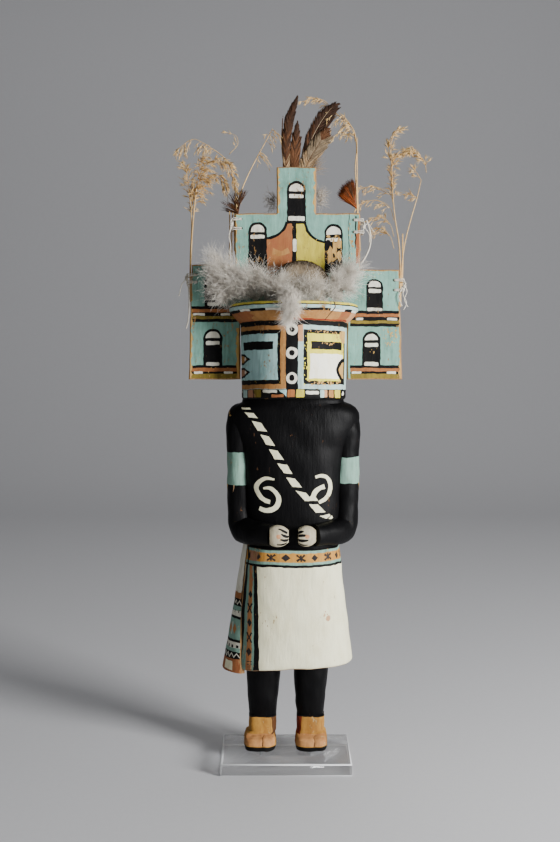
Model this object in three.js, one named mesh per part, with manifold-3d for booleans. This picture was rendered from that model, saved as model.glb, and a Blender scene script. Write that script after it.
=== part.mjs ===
// Kachina doll: a carved and painted wooden figure with a stepped board (tableta) behind its mask,
// down, feathers and dry grass tied to the board, standing on a clear base with two pins.
// Millimetres, +Z up, the figure faces -Y. The origin is the middle of the base's underside.

import * as THREE from 'three';
import { mergeVertices } from 'three/addons/utils/BufferGeometryUtils.js';
import Module from 'manifold-3d';

const wasm = await Module();
wasm.setup();

// Display base and its pins
const BASE_WIDTH = 85.8;
const BASE_DEPTH = 59.5;
const BASE_THICKNESS = 8;
const BASE_BEVEL = 0.8;
const PIN_DIAMETER = 1.6;
const PIN_BITE = 10; // how far a pin goes up into a foot
const PIN_CLEARANCE = 0.3;

// The figure's standing line
const FIGURE_Y = 9; // how far behind the base's middle the figure's axis stands
const BODY_X = 4.75; // the body leans a little off the base's middle

// Moccasins and legs
const SOLE_THICKNESS = 2.4;
const FOOT_HEIGHT = 18.6;
const FOOT_LENGTH = 28;
const FOOT_WIDTH = 21.8;
const TOE_HEIGHT = 9.4;
const CUFF_WIDTH = 19.3;
const CUFF_SHIFT = 0.9; // the ankle cuffs stand nearer each other than the soles
const LEFT_FOOT_X = -17.4;
const RIGHT_FOOT_X = 17.1;
const ANKLE_WIDTH = 18.8;
const LEG_TOP_WIDTH = 24.6;
const LEG_TOP_DEPTH = 26;

// Kilt and belt
const HEM_HEIGHT = 59.8; // above the soles
const KILT_LENGTH = 77.8; // from the hem to the top of the belt
const BELT_WIDTH = 11;
const BELT_TOP_WIDTH = 61;
const BELT_BOTTOM_WIDTH = 64.4;
const HEM_WIDTH = 80.6;
const HEM_DEPTH = 58;
const WAIST_DEPTH = 44;
const HEM_DROP = 0.11; // how steeply the hem falls towards the sash

// Sash panel on the figure's right hip
const SASH_DROP = 4.2; // below the hem's front
const SASH_TOP_STAND = 1.4;
const SASH_BOTTOM_STAND = 6.4;
const SASH_FRONT_ANGLE = 219;
const SASH_BACK_ANGLE = 165;

// Torso, arms and hands
const TORSO_LENGTH = 96.9; // from the belt's top to the mask
const CHEST_WIDTH = 67;
const CHEST_DEPTH = 41;
const NECK_WIDTH = 68;
const ARM_SPREAD = 71; // between the two upper arms' centre lines
const ARM_WIDTH = 16.8;
const ARM_DEPTH = 20.5;
const WRIST_HEIGHT = 14.2;
const HAND_SPREAD = 17.8; // between the two hands' middles
const HAND_WIDTH = 12;
const HAND_HEIGHT = 13.8;
const FINGERS = 4;

// Mask, measured in the head's own tilted frame
const HEAD_TILT = 5; // degrees the head leans back
const HEAD_X = 5.2;
const MASK_BOTTOM_RADIUS = 34.2;
const MASK_TOP_RADIUS = 35.1;
const MASK_HEIGHT = 52.4;
const BRIM_RADIUS = 42.6;
const BRIM_DEPTH = 12; // how tall the flared brim is
const BRIM_RIM = 3.6; // the upright edge of the brim

// Tableta, the stepped board
const BOARD_FRONT = 3; // behind the mask's own middle
const BOARD_THICKNESS = 6.5;
const BOARD_BEVEL = 1;
const BOARD_LOW = 13.4;
const WING_WIDTH_LOW = 141.7;
const WING_WIDTH_TOP = 137.8;
const WING_TOP_LEFT = 89.5;
const WING_TOP_RIGHT = 86.2;
const TIER_LEFT = -39;
const TIER_RIGHT = 44.1;
const TIER_TOP = 123.5;
const TOWER_LEFT = -11.2;
const TOWER_RIGHT = 14.9;
const TOWER_TOP = 154.2;
const FIT_CLEARANCE = 0.4; // between the mask and the board's notch
const REST_GAP = 0.3; // between pieces that only rest on each other
const STRING_DIAMETER = 1;
const STRING_HOLE = 1.9;

// Trim
const STEM_DIAMETER = 1.3;
const PLUME_DEPTH = 7;
const FEATHER_THICKNESS = 0.9;
const TUFT_FRONT = 20; // how far the down stands in front of the board

const radians = THREE.MathUtils.degToRad;
const vec = (x, y, z) => new THREE.Vector3(x, y, z);

// Levels above the origin
const SOLE_Z = BASE_THICKNESS;
const HEM_Z = SOLE_Z + HEM_HEIGHT;
const BELT_TOP_Z = HEM_Z + KILT_LENGTH;
const BELT_BOTTOM_Z = BELT_TOP_Z - BELT_WIDTH;
const MASK_Z = BELT_TOP_Z + TORSO_LENGTH;
const BOARD_BACK = BOARD_FRONT + BOARD_THICKNESS;
const BRIM_TOP = MASK_HEIGHT - 2.4 + BRIM_DEPTH;

// The head's frame, which the mask, the board and all the trim share
const headFrame = new THREE.Matrix4()
  .makeRotationX(-radians(HEAD_TILT))
  .setPosition(HEAD_X, FIGURE_Y, MASK_Z);

// Turns a closed geometry into a solid for cutting and joining
function solid(geometry) {
  const bare = (geometry.index ? geometry.toNonIndexed() : geometry).clone();
  for (const name of Object.keys(bare.attributes)) {
    if (name !== 'position') bare.deleteAttribute(name);
  }
  const welded = mergeVertices(bare, 1e-4);
  return new wasm.Manifold(new wasm.Mesh({
    numProp: 3,
    vertProperties: new Float32Array(welded.attributes.position.array),
    triVerts: new Uint32Array(welded.index.array),
  }));
}

function geometryOf(body) {
  const mesh = body.getMesh();
  const geometry = new THREE.BufferGeometry();
  geometry.setAttribute('position', new THREE.BufferAttribute(mesh.vertProperties, 3));
  geometry.setIndex(new THREE.BufferAttribute(mesh.triVerts, 1));
  geometry.computeVertexNormals();
  return geometry;
}

const joined = (bodies) => bodies.reduce((sum, body) => sum.add(body));

// Where two curved skins graze each other, a crumb smaller than a grain of dust can come loose
const CRUMB = 0.05;
function withoutCrumbs(body) {
  const pieces = body.decompose().filter((piece) => Math.abs(piece.volume()) > CRUMB);
  return pieces.length > 1 ? joined(pieces) : pieces[0];
}

// Skins a stack of equal closed rings and caps both ends
function loft(rings) {
  const count = rings[0].length;
  const points = rings.flat();
  const faces = [];
  for (let r = 0; r < rings.length - 1; r += 1) {
    for (let i = 0; i < count; i += 1) {
      const a = r * count + i;
      const b = r * count + ((i + 1) % count);
      faces.push(a, b, b + count, a, b + count, a + count);
    }
  }
  const middle = (ring) => ring.reduce((sum, p) => sum.add(p), vec(0, 0, 0)).divideScalar(count);
  const low = points.length;
  points.push(middle(rings[0]), middle(rings[rings.length - 1]));
  const last = (rings.length - 1) * count;
  for (let i = 0; i < count; i += 1) {
    const next = (i + 1) % count;
    faces.push(low, next, i, low + 1, last + i, last + next);
  }
  const geometry = new THREE.BufferGeometry();
  geometry.setFromPoints(points);
  geometry.setIndex(faces);
  return geometry;
}

// A level ring of a squared-off oval: n = 2 is an ellipse, more is boxier
function ovalPoint(angle, halfWidth, halfDepth, n) {
  const c = Math.cos(angle);
  const s = Math.sin(angle);
  return {
    x: Math.sign(c) * halfWidth * Math.abs(c) ** (2 / n),
    y: Math.sign(s) * halfDepth * Math.abs(s) ** (2 / n),
  };
}

function oval(x, y, z, width, depth, n, sides = 32) {
  return Array.from({ length: sides }, (_, i) => {
    const p = ovalPoint((i / sides) * 2 * Math.PI, width / 2, depth / 2, n);
    return vec(x + p.x, y + p.y, z);
  });
}

// A limb along a smooth path, with its own width and depth at each point
function limb(path, widths, depths, sides, steps) {
  const curve = new THREE.CatmullRomCurve3(path, false, 'centripetal');
  const outward = vec(1, 0, 0);
  const sample = (list, t) => {
    const place = t * (list.length - 1);
    const low = Math.min(Math.floor(place), list.length - 2);
    return THREE.MathUtils.lerp(list[low], list[low + 1], place - low);
  };
  const rings = [];
  for (let k = 0; k <= steps; k += 1) {
    const t = k / steps;
    const centre = curve.getPoint(t);
    const along = curve.getTangent(t);
    const across = outward.clone().addScaledVector(along, -outward.dot(along)).normalize();
    const other = along.clone().cross(across);
    rings.push(Array.from({ length: sides }, (_, i) => {
      const angle = (i / sides) * 2 * Math.PI;
      return centre.clone()
        .addScaledVector(across, (Math.cos(angle) * sample(widths, t)) / 2)
        .addScaledVector(other, (Math.sin(angle) * sample(depths, t)) / 2);
    }));
  }
  return loft(rings);
}

function blob(x, y, z, width, depth, height, across = 8, up = 6) {
  return new THREE.SphereGeometry(0.5, across, up).rotateX(Math.PI / 2)
    .scale(width, depth, height)
    .translate(x, y, z);
}

// A round tube of even thickness along a smooth path
function tube(points, diameter, sides, step) {
  const curve = new THREE.CatmullRomCurve3(points, false, 'centripetal');
  const section = new THREE.Shape(Array.from({ length: sides }, (_, i) => {
    const angle = (i / sides) * 2 * Math.PI;
    return new THREE.Vector2(Math.cos(angle) * diameter / 2, Math.sin(angle) * diameter / 2);
  }));
  const steps = Math.max(3, Math.round(curve.getLength() / step));
  return new THREE.ExtrudeGeometry(section, { steps, bevelEnabled: false, extrudePath: curve });
}

// A flat piece standing in the board's plane, from an outline of x and height
function panel(outline, front, thickness, bevel = 0) {
  const shape = outline instanceof THREE.Shape ? outline
    : new THREE.Shape(outline.map(([x, z]) => new THREE.Vector2(x, z)));
  const geometry = new THREE.ExtrudeGeometry(shape, {
    depth: thickness - 2 * bevel,
    curveSegments: 8,
    bevelEnabled: bevel > 0,
    bevelThickness: bevel,
    bevelSize: bevel,
    bevelOffset: -bevel,
    bevelSegments: 1,
  });
  return geometry.rotateX(Math.PI / 2).translate(0, front + thickness - bevel, 0);
}

// Feet: a block with a sloping toe on a thin sole
function foot(x) {
  const toe = FIGURE_Y - FOOT_LENGTH * 0.54;
  const levels = [
    [0, 0.2, 0, FOOT_WIDTH],
    [SOLE_THICKNESS, 0, 0, FOOT_WIDTH],
    [SOLE_THICKNESS + 0.5, 0.9, 0.6, FOOT_WIDTH - 0.8],
    [TOE_HEIGHT - 2.2, 0.9, 0.6, FOOT_WIDTH - 0.4],
    [TOE_HEIGHT, 2.4, 1, FOOT_WIDTH - 1.6],
    [TOE_HEIGHT + 1.6, 6, 1.8, CUFF_WIDTH],
    [FOOT_HEIGHT - 0.5, 6.4, 2.4, CUFF_WIDTH],
    [FOOT_HEIGHT, 7.2, 3.2, CUFF_WIDTH - 1.6],
  ];
  return loft(levels.map(([rise, front, back, width], k) => {
    const low = toe + front;
    const high = toe + FOOT_LENGTH - back;
    const shift = k > 4 ? Math.sign(x) * -CUFF_SHIFT : 0;
    return oval(x + shift, (low + high) / 2, SOLE_Z + rise, width, high - low, 3.2, 16);
  }));
}

function leg(footX, topX) {
  const bottom = SOLE_Z + FOOT_HEIGHT - 1;
  const top = HEM_Z + 6;
  const y = FIGURE_Y + 1;
  return loft([0, 0.2, 0.45, 0.7, 1].map((t) => {
    const swell = Math.sin(t * Math.PI) * 0.6;
    return oval(
      THREE.MathUtils.lerp(footX, topX, t), y, THREE.MathUtils.lerp(bottom, top, t),
      THREE.MathUtils.lerp(ANKLE_WIDTH, LEG_TOP_WIDTH, t) + swell,
      THREE.MathUtils.lerp(ANKLE_WIDTH, LEG_TOP_DEPTH, t), 2.3, 16,
    );
  }));
}

// The kilt's half sizes at a height, shared with the sash that hangs on it
function kiltSize(z) {
  const t = THREE.MathUtils.clamp((BELT_BOTTOM_Z - z) / (BELT_BOTTOM_Z - HEM_Z), -1, 1.2);
  if (t < 0) {
    const s = (z - BELT_BOTTOM_Z) / BELT_WIDTH;
    return [
      THREE.MathUtils.lerp(BELT_BOTTOM_WIDTH, BELT_TOP_WIDTH, s) / 2,
      THREE.MathUtils.lerp(WAIST_DEPTH + 2.6, WAIST_DEPTH, s) / 2,
    ];
  }
  const flare = t ** 1.12;
  return [
    THREE.MathUtils.lerp(BELT_BOTTOM_WIDTH, HEM_WIDTH, flare) / 2,
    THREE.MathUtils.lerp(WAIST_DEPTH + 2.6, HEM_DEPTH, flare) / 2,
  ];
}

const KILT_ROUNDNESS = 2.35;
const hemFall = (x, share) => Math.min(0, x - BODY_X + 3) * HEM_DROP * share;

function kilt() {
  const rise = BELT_TOP_Z - HEM_Z;
  const shares = [0, 0.012, 0.05, 0.2, 0.38, 0.56, 0.72, 0.86, 1];
  const rings = shares.map((share, k) => {
    const z = HEM_Z + rise * share;
    const [halfWidth, halfDepth] = kiltSize(z);
    const tuck = [1.6, 0.4][k] ?? 0;
    const ring = oval(BODY_X, FIGURE_Y, z, 2 * (halfWidth - tuck), 2 * (halfDepth - tuck), KILT_ROUNDNESS);
    return ring.map((p) => p.setZ(p.z + hemFall(p.x, 1 - share)));
  });
  return loft(rings);
}

// The sash hangs as a thin slab that wraps the hip and stands off more towards its foot
function sash() {
  const top = BELT_TOP_Z + 0.6;
  const bottom = HEM_Z - SASH_DROP;
  const levels = 6;
  const spread = 7;
  const rings = [];
  for (let k = 0; k <= levels; k += 1) {
    const t = k / levels;
    const z = THREE.MathUtils.lerp(bottom, top, t);
    const [halfWidth, halfDepth] = kiltSize(z);
    const stand = THREE.MathUtils.lerp(SASH_BOTTOM_STAND, SASH_TOP_STAND, t);
    const edge = (inset, i) => {
      const angle = radians(THREE.MathUtils.lerp(SASH_BACK_ANGLE, SASH_FRONT_ANGLE, i / spread));
      const p = ovalPoint(angle, halfWidth + inset, halfDepth + inset * 0.4, KILT_ROUNDNESS);
      return vec(BODY_X + p.x, FIGURE_Y + p.y, z);
    };
    const outer = Array.from({ length: spread + 1 }, (_, i) => edge(stand, i));
    const inner = Array.from({ length: spread + 1 }, (_, i) => edge(-2.5, spread - i));
    rings.push([...outer, ...inner]);
  }
  return loft(rings);
}

function torso() {
  const middle = BELT_TOP_Z + TORSO_LENGTH / 2;
  const levels = [
    [BELT_TOP_Z - 3, BELT_TOP_WIDTH - 3, CHEST_DEPTH - 3],
    [BELT_TOP_Z + 14, BELT_TOP_WIDTH + 2, CHEST_DEPTH - 2],
    [middle - 12, CHEST_WIDTH - 2, CHEST_DEPTH - 1],
    [middle + 12, CHEST_WIDTH, CHEST_DEPTH],
    [middle + 30, CHEST_WIDTH + 2, CHEST_DEPTH - 1],
    [MASK_Z - 8, CHEST_WIDTH + 6, CHEST_DEPTH - 3],
    [MASK_Z - 3.5, NECK_WIDTH + 4, CHEST_DEPTH - 6],
    [MASK_Z - 1.6, NECK_WIDTH, CHEST_DEPTH - 8],
    [MASK_Z + 2, NECK_WIDTH - 2, CHEST_DEPTH - 9],
  ];
  return loft(levels.map(([z, width, depth]) => oval(BODY_X, FIGURE_Y, z, width, depth, 2.5, 28)));
}

// An arm hangs beside the body, then the forearm crosses the waist to the hand
function arm(side) {
  const shoulder = ARM_SPREAD / 2;
  const elbowZ = BELT_TOP_Z + 10.8;
  const at = (x, y, z) => vec(BODY_X + side * x, FIGURE_Y + y, z);
  const path = [
    at(shoulder - 2.6, 0.5, MASK_Z - 4.6), at(shoulder - 1.2, 0.2, MASK_Z - 7), at(shoulder, 0, MASK_Z - 15),
    at(shoulder, 0, MASK_Z - 35), at(shoulder - 0.1, 0, MASK_Z - 58), at(shoulder - 0.4, -0.4, elbowZ + 12),
    at(shoulder - 2.2, -3.8, elbowZ + 1.2), at(shoulder - 7.6, -12, elbowZ - 0.4), at(shoulder - 15.5, -20, elbowZ - 0.4),
    at(HAND_SPREAD / 2 + 4.6, -25.2, elbowZ - 0.4),
  ];
  const widths = [8, 13, 1, 1, 1, 1, 1.04, 0.94, 0.84, 0.72].map((w) => (w > 2 ? w : w * ARM_WIDTH));
  const depths = [9, 15, ARM_DEPTH, ARM_DEPTH, ARM_DEPTH, ARM_DEPTH * 0.98, 19.4, 17, 15, WRIST_HEIGHT];
  return limb(path, widths, depths, 12, 14);
}

// A fist laid flat: a palm with four fingers one above another, reaching to the middle
function hand(side) {
  const x = BODY_X + 0.8 + side * (HAND_SPREAD / 2);
  const y = FIGURE_Y - 27;
  const z = BELT_TOP_Z + 10.4;
  const pitch = HAND_HEIGHT / FINGERS;
  const bodies = [solid(blob(x + side * 2, y + 1, z, HAND_WIDTH * 0.95, 9.5, HAND_HEIGHT * 0.96, 10, 8))];
  for (let i = 0; i < FINGERS; i += 1) {
    const bend = [1.3, 0.2, 0, 0.9][i];
    const finger = new THREE.CapsuleGeometry(pitch * 0.56, HAND_WIDTH - pitch * 1.3 - bend, 2, 6)
      .rotateZ(Math.PI / 2)
      .rotateZ(-side * radians((i - (FINGERS - 1) / 2) * 5))
      .rotateX(Math.PI / 2)
      .translate(x + side * bend * 0.5, y - 2.4 + Math.abs(i - 1.5) * 0.7, z + (1.5 - i) * pitch);
    bodies.push(solid(finger));
  }
  return joined(bodies);
}

// A round form about the head's upright axis, from a profile of radius and height
function turned(profile, sides = 36) {
  return new THREE.LatheGeometry(profile.map(([r, z]) => new THREE.Vector2(r, z)), sides)
    .rotateX(Math.PI / 2);
}

function maskProfile(grow) {
  return [
    [0, -grow], [MASK_BOTTOM_RADIUS - 1 + grow, -grow], [MASK_BOTTOM_RADIUS + grow, 1],
    [(MASK_BOTTOM_RADIUS + MASK_TOP_RADIUS) / 2 + grow, MASK_HEIGHT / 2],
    [MASK_TOP_RADIUS + grow, MASK_HEIGHT - 1.2 + grow], [MASK_TOP_RADIUS - 2.4 + grow, MASK_HEIGHT + grow],
    [0, MASK_HEIGHT + grow],
  ];
}

function brimProfile(grow) {
  const low = BRIM_TOP - BRIM_DEPTH;
  const swell = BRIM_RADIUS - MASK_TOP_RADIUS;
  return [
    [0, low - 4], [MASK_TOP_RADIUS - 1, low - 4], [MASK_TOP_RADIUS + 0.2 + grow, low - grow],
    [MASK_TOP_RADIUS + swell * 0.5 + grow, low + BRIM_DEPTH * 0.28],
    [MASK_TOP_RADIUS + swell * 0.86 + grow, BRIM_TOP - BRIM_RIM - 1.6],
    [BRIM_RADIUS + grow, BRIM_TOP - BRIM_RIM], [BRIM_RADIUS + grow, BRIM_TOP - 0.9],
    [BRIM_RADIUS - 0.9 + grow, BRIM_TOP + grow], [0, BRIM_TOP + grow],
  ];
}

function brim(grow) {
  const reach = 2 * BRIM_RADIUS + 20;
  const front = new THREE.BoxGeometry(reach, reach, reach)
    .translate(0, BOARD_FRONT - REST_GAP + grow - reach / 2, BRIM_TOP);
  return solid(turned(brimProfile(grow), 40)).intersect(solid(front));
}

const head = (grow) => solid(turned(maskProfile(grow))).add(brim(grow));

const pinPlaces = [
  [LEFT_FOOT_X + 0.6, FIGURE_Y], [RIGHT_FOOT_X - 1.1, FIGURE_Y],
];

function pinShaft([x, y], diameter, from, to) {
  return new THREE.CylinderGeometry(diameter / 2, diameter / 2, to - from, 12)
    .rotateX(Math.PI / 2)
    .translate(x, y, (from + to) / 2);
}

function carvedFigure() {
  const bodies = [
    solid(foot(LEFT_FOOT_X)), solid(foot(RIGHT_FOOT_X)),
    solid(leg(LEFT_FOOT_X + 1.8, LEFT_FOOT_X + 2.6)), solid(leg(RIGHT_FOOT_X - 0.8, RIGHT_FOOT_X)),
    solid(kilt()), solid(sash()), solid(torso()),
    solid(arm(-1)), solid(arm(1)), hand(-1), hand(1),
    head(0).transform(headFrame.elements),
  ];
  const holes = pinPlaces.map((place) => solid(pinShaft(
    place, PIN_DIAMETER + 2 * PIN_CLEARANCE, SOLE_Z - 1, SOLE_Z + PIN_BITE + PIN_CLEARANCE,
  )));
  return withoutCrumbs(joined(bodies).subtract(joined(holes)));
}

// The board's outline climbs in steps on each side; its notch sits round the mask
function boardOutline() {
  const low = WING_WIDTH_LOW / 2;
  const top = WING_WIDTH_TOP / 2;
  const middle = (TIER_LEFT + TIER_RIGHT) / 2 - 1.4;
  const notch = MASK_TOP_RADIUS + FIT_CLEARANCE;
  return [
    [middle - low, BOARD_LOW], [-notch, BOARD_LOW], [-notch, MASK_HEIGHT + FIT_CLEARANCE],
    [notch, MASK_HEIGHT + FIT_CLEARANCE], [notch, BOARD_LOW], [middle + low, BOARD_LOW],
    [middle + top, WING_TOP_RIGHT], [TIER_RIGHT, WING_TOP_RIGHT], [TIER_RIGHT, TIER_TOP],
    [TOWER_RIGHT, TIER_TOP], [TOWER_RIGHT, TOWER_TOP], [TOWER_LEFT, TOWER_TOP],
    [TOWER_LEFT, TIER_TOP], [TIER_LEFT, TIER_TOP], [TIER_LEFT, WING_TOP_LEFT],
    [middle - top, WING_TOP_LEFT],
  ];
}

const boardSide = (side) => (TIER_LEFT + TIER_RIGHT) / 2 - 1.4 + side * (WING_WIDTH_TOP / 2);

// Where each bundle of grass is tied: the board's edge, and the levels of its two string holes
const ties = {
  outer_left: { side: -1, edge: boardSide(-1) - 1, levels: [WING_TOP_LEFT - 6.9, WING_TOP_LEFT - 11.6] },
  inner_left: { side: -1, edge: TIER_LEFT, levels: [TIER_TOP - 3.8, TIER_TOP - 10.1] },
  inner_right: { side: 1, edge: TIER_RIGHT, levels: [TIER_TOP - 4.5, TIER_TOP - 12.4] },
  outer_right: { side: 1, edge: boardSide(1) + 1, levels: [WING_TOP_RIGHT - 7, WING_TOP_RIGHT - 13.6] },
};
const HOLE_INSET = 4.2;
const stemSpot = BOARD_BACK + REST_GAP + STEM_DIAMETER;

function tableta() {
  const holes = Object.values(ties).flatMap((tie) => tie.levels.map((z) => solid(
    new THREE.CylinderGeometry(STRING_HOLE / 2, STRING_HOLE / 2, BOARD_THICKNESS * 3, 8)
      .translate(tie.edge - tie.side * HOLE_INSET, BOARD_BACK, z),
  )));
  return solid(panel(boardOutline(), BOARD_FRONT, BOARD_THICKNESS, BOARD_BEVEL)).subtract(joined(holes));
}

// A closed turn of string, round a level path of x and y that runs counter-clockwise
function turnOfString(path, z, diameter, sides = 6) {
  const rings = path.map(([x, y], i) => {
    const [fromX, fromY] = path[(i + path.length - 1) % path.length];
    const [toX, toY] = path[(i + 1) % path.length];
    const outward = new THREE.Vector2(toY - fromY, fromX - toX).normalize();
    return Array.from({ length: sides }, (_, k) => {
      const angle = (k / sides) * 2 * Math.PI;
      const reach = Math.cos(angle) * diameter / 2;
      return vec(x + outward.x * reach, y + outward.y * reach, z + Math.sin(angle) * diameter / 2);
    });
  });
  const faces = [];
  rings.forEach((ring, r) => {
    const here = r * sides;
    const there = ((r + 1) % rings.length) * sides;
    for (let k = 0; k < sides; k += 1) {
      const next = (k + 1) % sides;
      faces.push(here + k, there + k, there + next, here + k, there + next, here + next);
    }
  });
  const geometry = new THREE.BufferGeometry();
  geometry.setFromPoints(rings.flat());
  geometry.setIndex(faces);
  return geometry;
}

// A string passes through each hole, round the board's edge and behind the stems
function stringTie({ side, edge, levels }) {
  const half = STRING_DIAMETER / 2;
  const inner = edge - side * HOLE_INSET;
  const outer = edge + side * (STEM_DIAMETER + 1.8);
  const front = BOARD_FRONT - half - REST_GAP;
  const back = stemSpot + STEM_DIAMETER + half + REST_GAP;
  const [low, high] = [Math.min(inner, outer), Math.max(inner, outer)];
  const corner = 0.8;
  const path = [
    [low + corner, front], [high - corner, front], [high - corner * 0.3, front + corner * 0.3], [high, front + corner],
    [high, back - corner], [high - corner * 0.3, back - corner * 0.3], [high - corner, back], [low + corner, back],
    [low + corner * 0.3, back - corner * 0.3], [low, back - corner], [low, front + corner],
    [low + corner * 0.3, front + corner * 0.3],
  ];
  const knot = blob(outer + side * 0.5, front + 1.2, (levels[0] + levels[1]) / 2, 2.6, 2.6,
    Math.abs(levels[0] - levels[1]) + 2, 6, 5);
  return joined([...levels.map((z) => solid(turnOfString(path, z, STRING_DIAMETER))), solid(knot)]);
}

// Dry grass: thin stems tied at their foot, with plumes of small seed heads
function grass(stems, plumes) {
  const stalk = (points) => solid(tube(points.map(([x, z, y = 0]) => vec(x, stemSpot + y, z)), STEM_DIAMETER, 5, 8));
  const plume = ([x, z, width, height, turn, y = 0]) => solid(blob(0, 0, 0, width, PLUME_DEPTH, height, 7, 5)
    .rotateY(radians(turn))
    .translate(x, BOARD_BACK + REST_GAP + PLUME_DEPTH / 2 + y, z));
  return joined([...stems.map(stalk), ...plumes.map(plume)]);
}

function feather(outline, front, lean = 0) {
  const curve = new THREE.SplineCurve(outline.map(([x, z]) => new THREE.Vector2(x, z)));
  const shape = new THREE.Shape(curve.getPoints(outline.length * 3));
  return panel(shape, 0, FEATHER_THICKNESS).rotateX(-radians(lean)).translate(0, front, 0);
}

// Soft down lies on the brim, spreads over the left step and hangs over the brim's front
function downTuft() {
  const y = BOARD_FRONT - REST_GAP - TUFT_FRONT / 2;
  const lift = BRIM_TOP + 9;
  const bodies = [
    blob(-40, y, lift + 8, 31, TUFT_FRONT, 34, 10, 7), blob(-49, y, lift + 13, 13, TUFT_FRONT - 4, 32),
    blob(-46, y, lift - 6, 14, TUFT_FRONT - 6, 22), blob(-27, y - 5, lift + 4, 26, TUFT_FRONT, 30),
    blob(-10, y - 12, lift - 1, 30, TUFT_FRONT + 4, 22), blob(10, y - 13, lift - 1, 32, TUFT_FRONT + 4, 22),
    blob(28, y - 4, lift + 3, 24, TUFT_FRONT, 26), blob(36, y, lift + 12, 16, TUFT_FRONT - 4, 26),
    blob(-2, -BRIM_RADIUS + 6, lift - 3, 24, 22, 16),
    blob(-3, -BRIM_RADIUS - 3.6, BRIM_TOP - 2, 17, 8, 24), blob(-4, -BRIM_RADIUS - 3.2, BRIM_TOP - 11, 9, 5, 14),
  ].map((geometry) => solid(geometry));
  const reach = 300;
  const behind = new THREE.BoxGeometry(reach, reach, reach)
    .translate(0, BOARD_FRONT - REST_GAP + reach / 2, 0);
  return withoutCrumbs(joined(bodies).subtract(head(REST_GAP)).subtract(solid(behind)));
}

// The domed breast feather stands on the down, in front of the board
const DOME_WIDTH = 39;
const DOME_TOP = 90.5;

function breastFeather(grow) {
  const dome = blob(4.6, BOARD_FRONT - REST_GAP - 0.5, DOME_TOP - 17, DOME_WIDTH + grow, 23 + grow, 34 + grow, 16, 10);
  const reach = 200;
  const room = new THREE.BoxGeometry(reach, reach, reach)
    .translate(0, BOARD_FRONT - REST_GAP + grow - reach / 2, reach / 2 + BRIM_TOP + 9 - grow);
  return solid(dome).intersect(solid(room));
}

const paints = {
  figure: [0x2a2724, 0.75, 0], board: [0xa9cbc3, 0.8, 0], down: [0xc9c6c0, 1, 0], feather: [0x4a3226, 0.7, 0],
  dome: [0xa79a86, 0.9, 0], grey: [0x9b958c, 1, 0], rust: [0x6d3f25, 0.8, 0], grass: [0xc8a565, 0.85, 0],
  string: [0xe6e1d5, 0.9, 0], acrylic: [0xeef3f4, 0.05, 0], pin: [0xb9bcc0, 0.3, 1],
};

function add(parent, name, geometry, paint) {
  const [color, roughness, metalness] = paints[paint];
  const material = new THREE.MeshStandardMaterial({ color, roughness, metalness });
  if (paint === 'acrylic') {
    material.transparent = true;
    material.opacity = 0.3;
  }
  const mesh = new THREE.Mesh(geometry, material);
  mesh.name = name;
  parent.add(mesh);
}

const doll = new THREE.Group();
const headGroup = new THREE.Group();
headGroup.applyMatrix4(headFrame);
doll.add(headGroup);

// Base: a clear block with bevelled edges, drilled for the two pins
const baseOutline = new THREE.Shape([
  [-1, -1], [1, -1], [1, 1], [-1, 1],
].map(([x, y]) => new THREE.Vector2(x * BASE_WIDTH / 2, y * BASE_DEPTH / 2)));
const baseBlock = new THREE.ExtrudeGeometry(baseOutline, {
  depth: BASE_THICKNESS - 2 * BASE_BEVEL,
  bevelEnabled: true,
  bevelThickness: BASE_BEVEL,
  bevelSize: BASE_BEVEL,
  bevelOffset: -BASE_BEVEL,
  bevelSegments: 1,
}).translate(0, 0, BASE_BEVEL);
const baseHoles = pinPlaces.map((place) => solid(pinShaft(
  place, PIN_DIAMETER + 2 * PIN_CLEARANCE, -1, BASE_THICKNESS + 1,
)));
add(doll, 'display_base', geometryOf(solid(baseBlock).subtract(joined(baseHoles))), 'acrylic');
['base_pin_left', 'base_pin_right'].forEach((name, i) => {
  add(doll, name, geometryOf(solid(pinShaft(pinPlaces[i], PIN_DIAMETER, REST_GAP, SOLE_Z + PIN_BITE))), 'pin');
});

add(doll, 'carved_figure', geometryOf(carvedFigure()), 'figure');
add(headGroup, 'tableta', geometryOf(tableta()), 'board');

const dome = breastFeather(0);
add(headGroup, 'breast_feather', geometryOf(dome), 'dome');
add(headGroup, 'down_tuft', geometryOf(downTuft().subtract(breastFeather(2 * REST_GAP))), 'down');

// Crest feathers stand behind the tower, one in front of another
const featherFoot = TOWER_TOP - 16;
const crest = {
  crest_feather_left: [
    [-5.2, featherFoot], [-5.7, TOWER_TOP + 2], [-7.6, TOWER_TOP + 19.5], [-5.4, TOWER_TOP + 31], [-2, TOWER_TOP + 44],
    [3.2, TOWER_TOP + 49], [2.4, TOWER_TOP + 42], [0.3, TOWER_TOP + 32], [-2, TOWER_TOP + 22], [-1, TOWER_TOP + 2],
    [-1.6, featherFoot],
  ],
  crest_feather_middle: [
    [-0.6, featherFoot], [-3.4, TOWER_TOP + 4], [-3, TOWER_TOP + 14], [-1, TOWER_TOP + 24], [2.7, TOWER_TOP + 33],
    [3.2, TOWER_TOP + 23], [4.8, TOWER_TOP + 16], [7.2, TOWER_TOP + 3], [4.6, featherFoot],
  ],
  crest_feather_right: [
    [6.4, featherFoot], [6.6, TOWER_TOP + 4], [4.7, TOWER_TOP + 19.5], [9.6, TOWER_TOP + 30], [16.6, TOWER_TOP + 38.5],
    [22.3, TOWER_TOP + 42.6], [29.2, TOWER_TOP + 44.6], [27.2, TOWER_TOP + 34], [25.4, TOWER_TOP + 24],
    [22.4, TOWER_TOP + 14], [16.6, TOWER_TOP + 4], [11, featherFoot],
  ],
};
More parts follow.
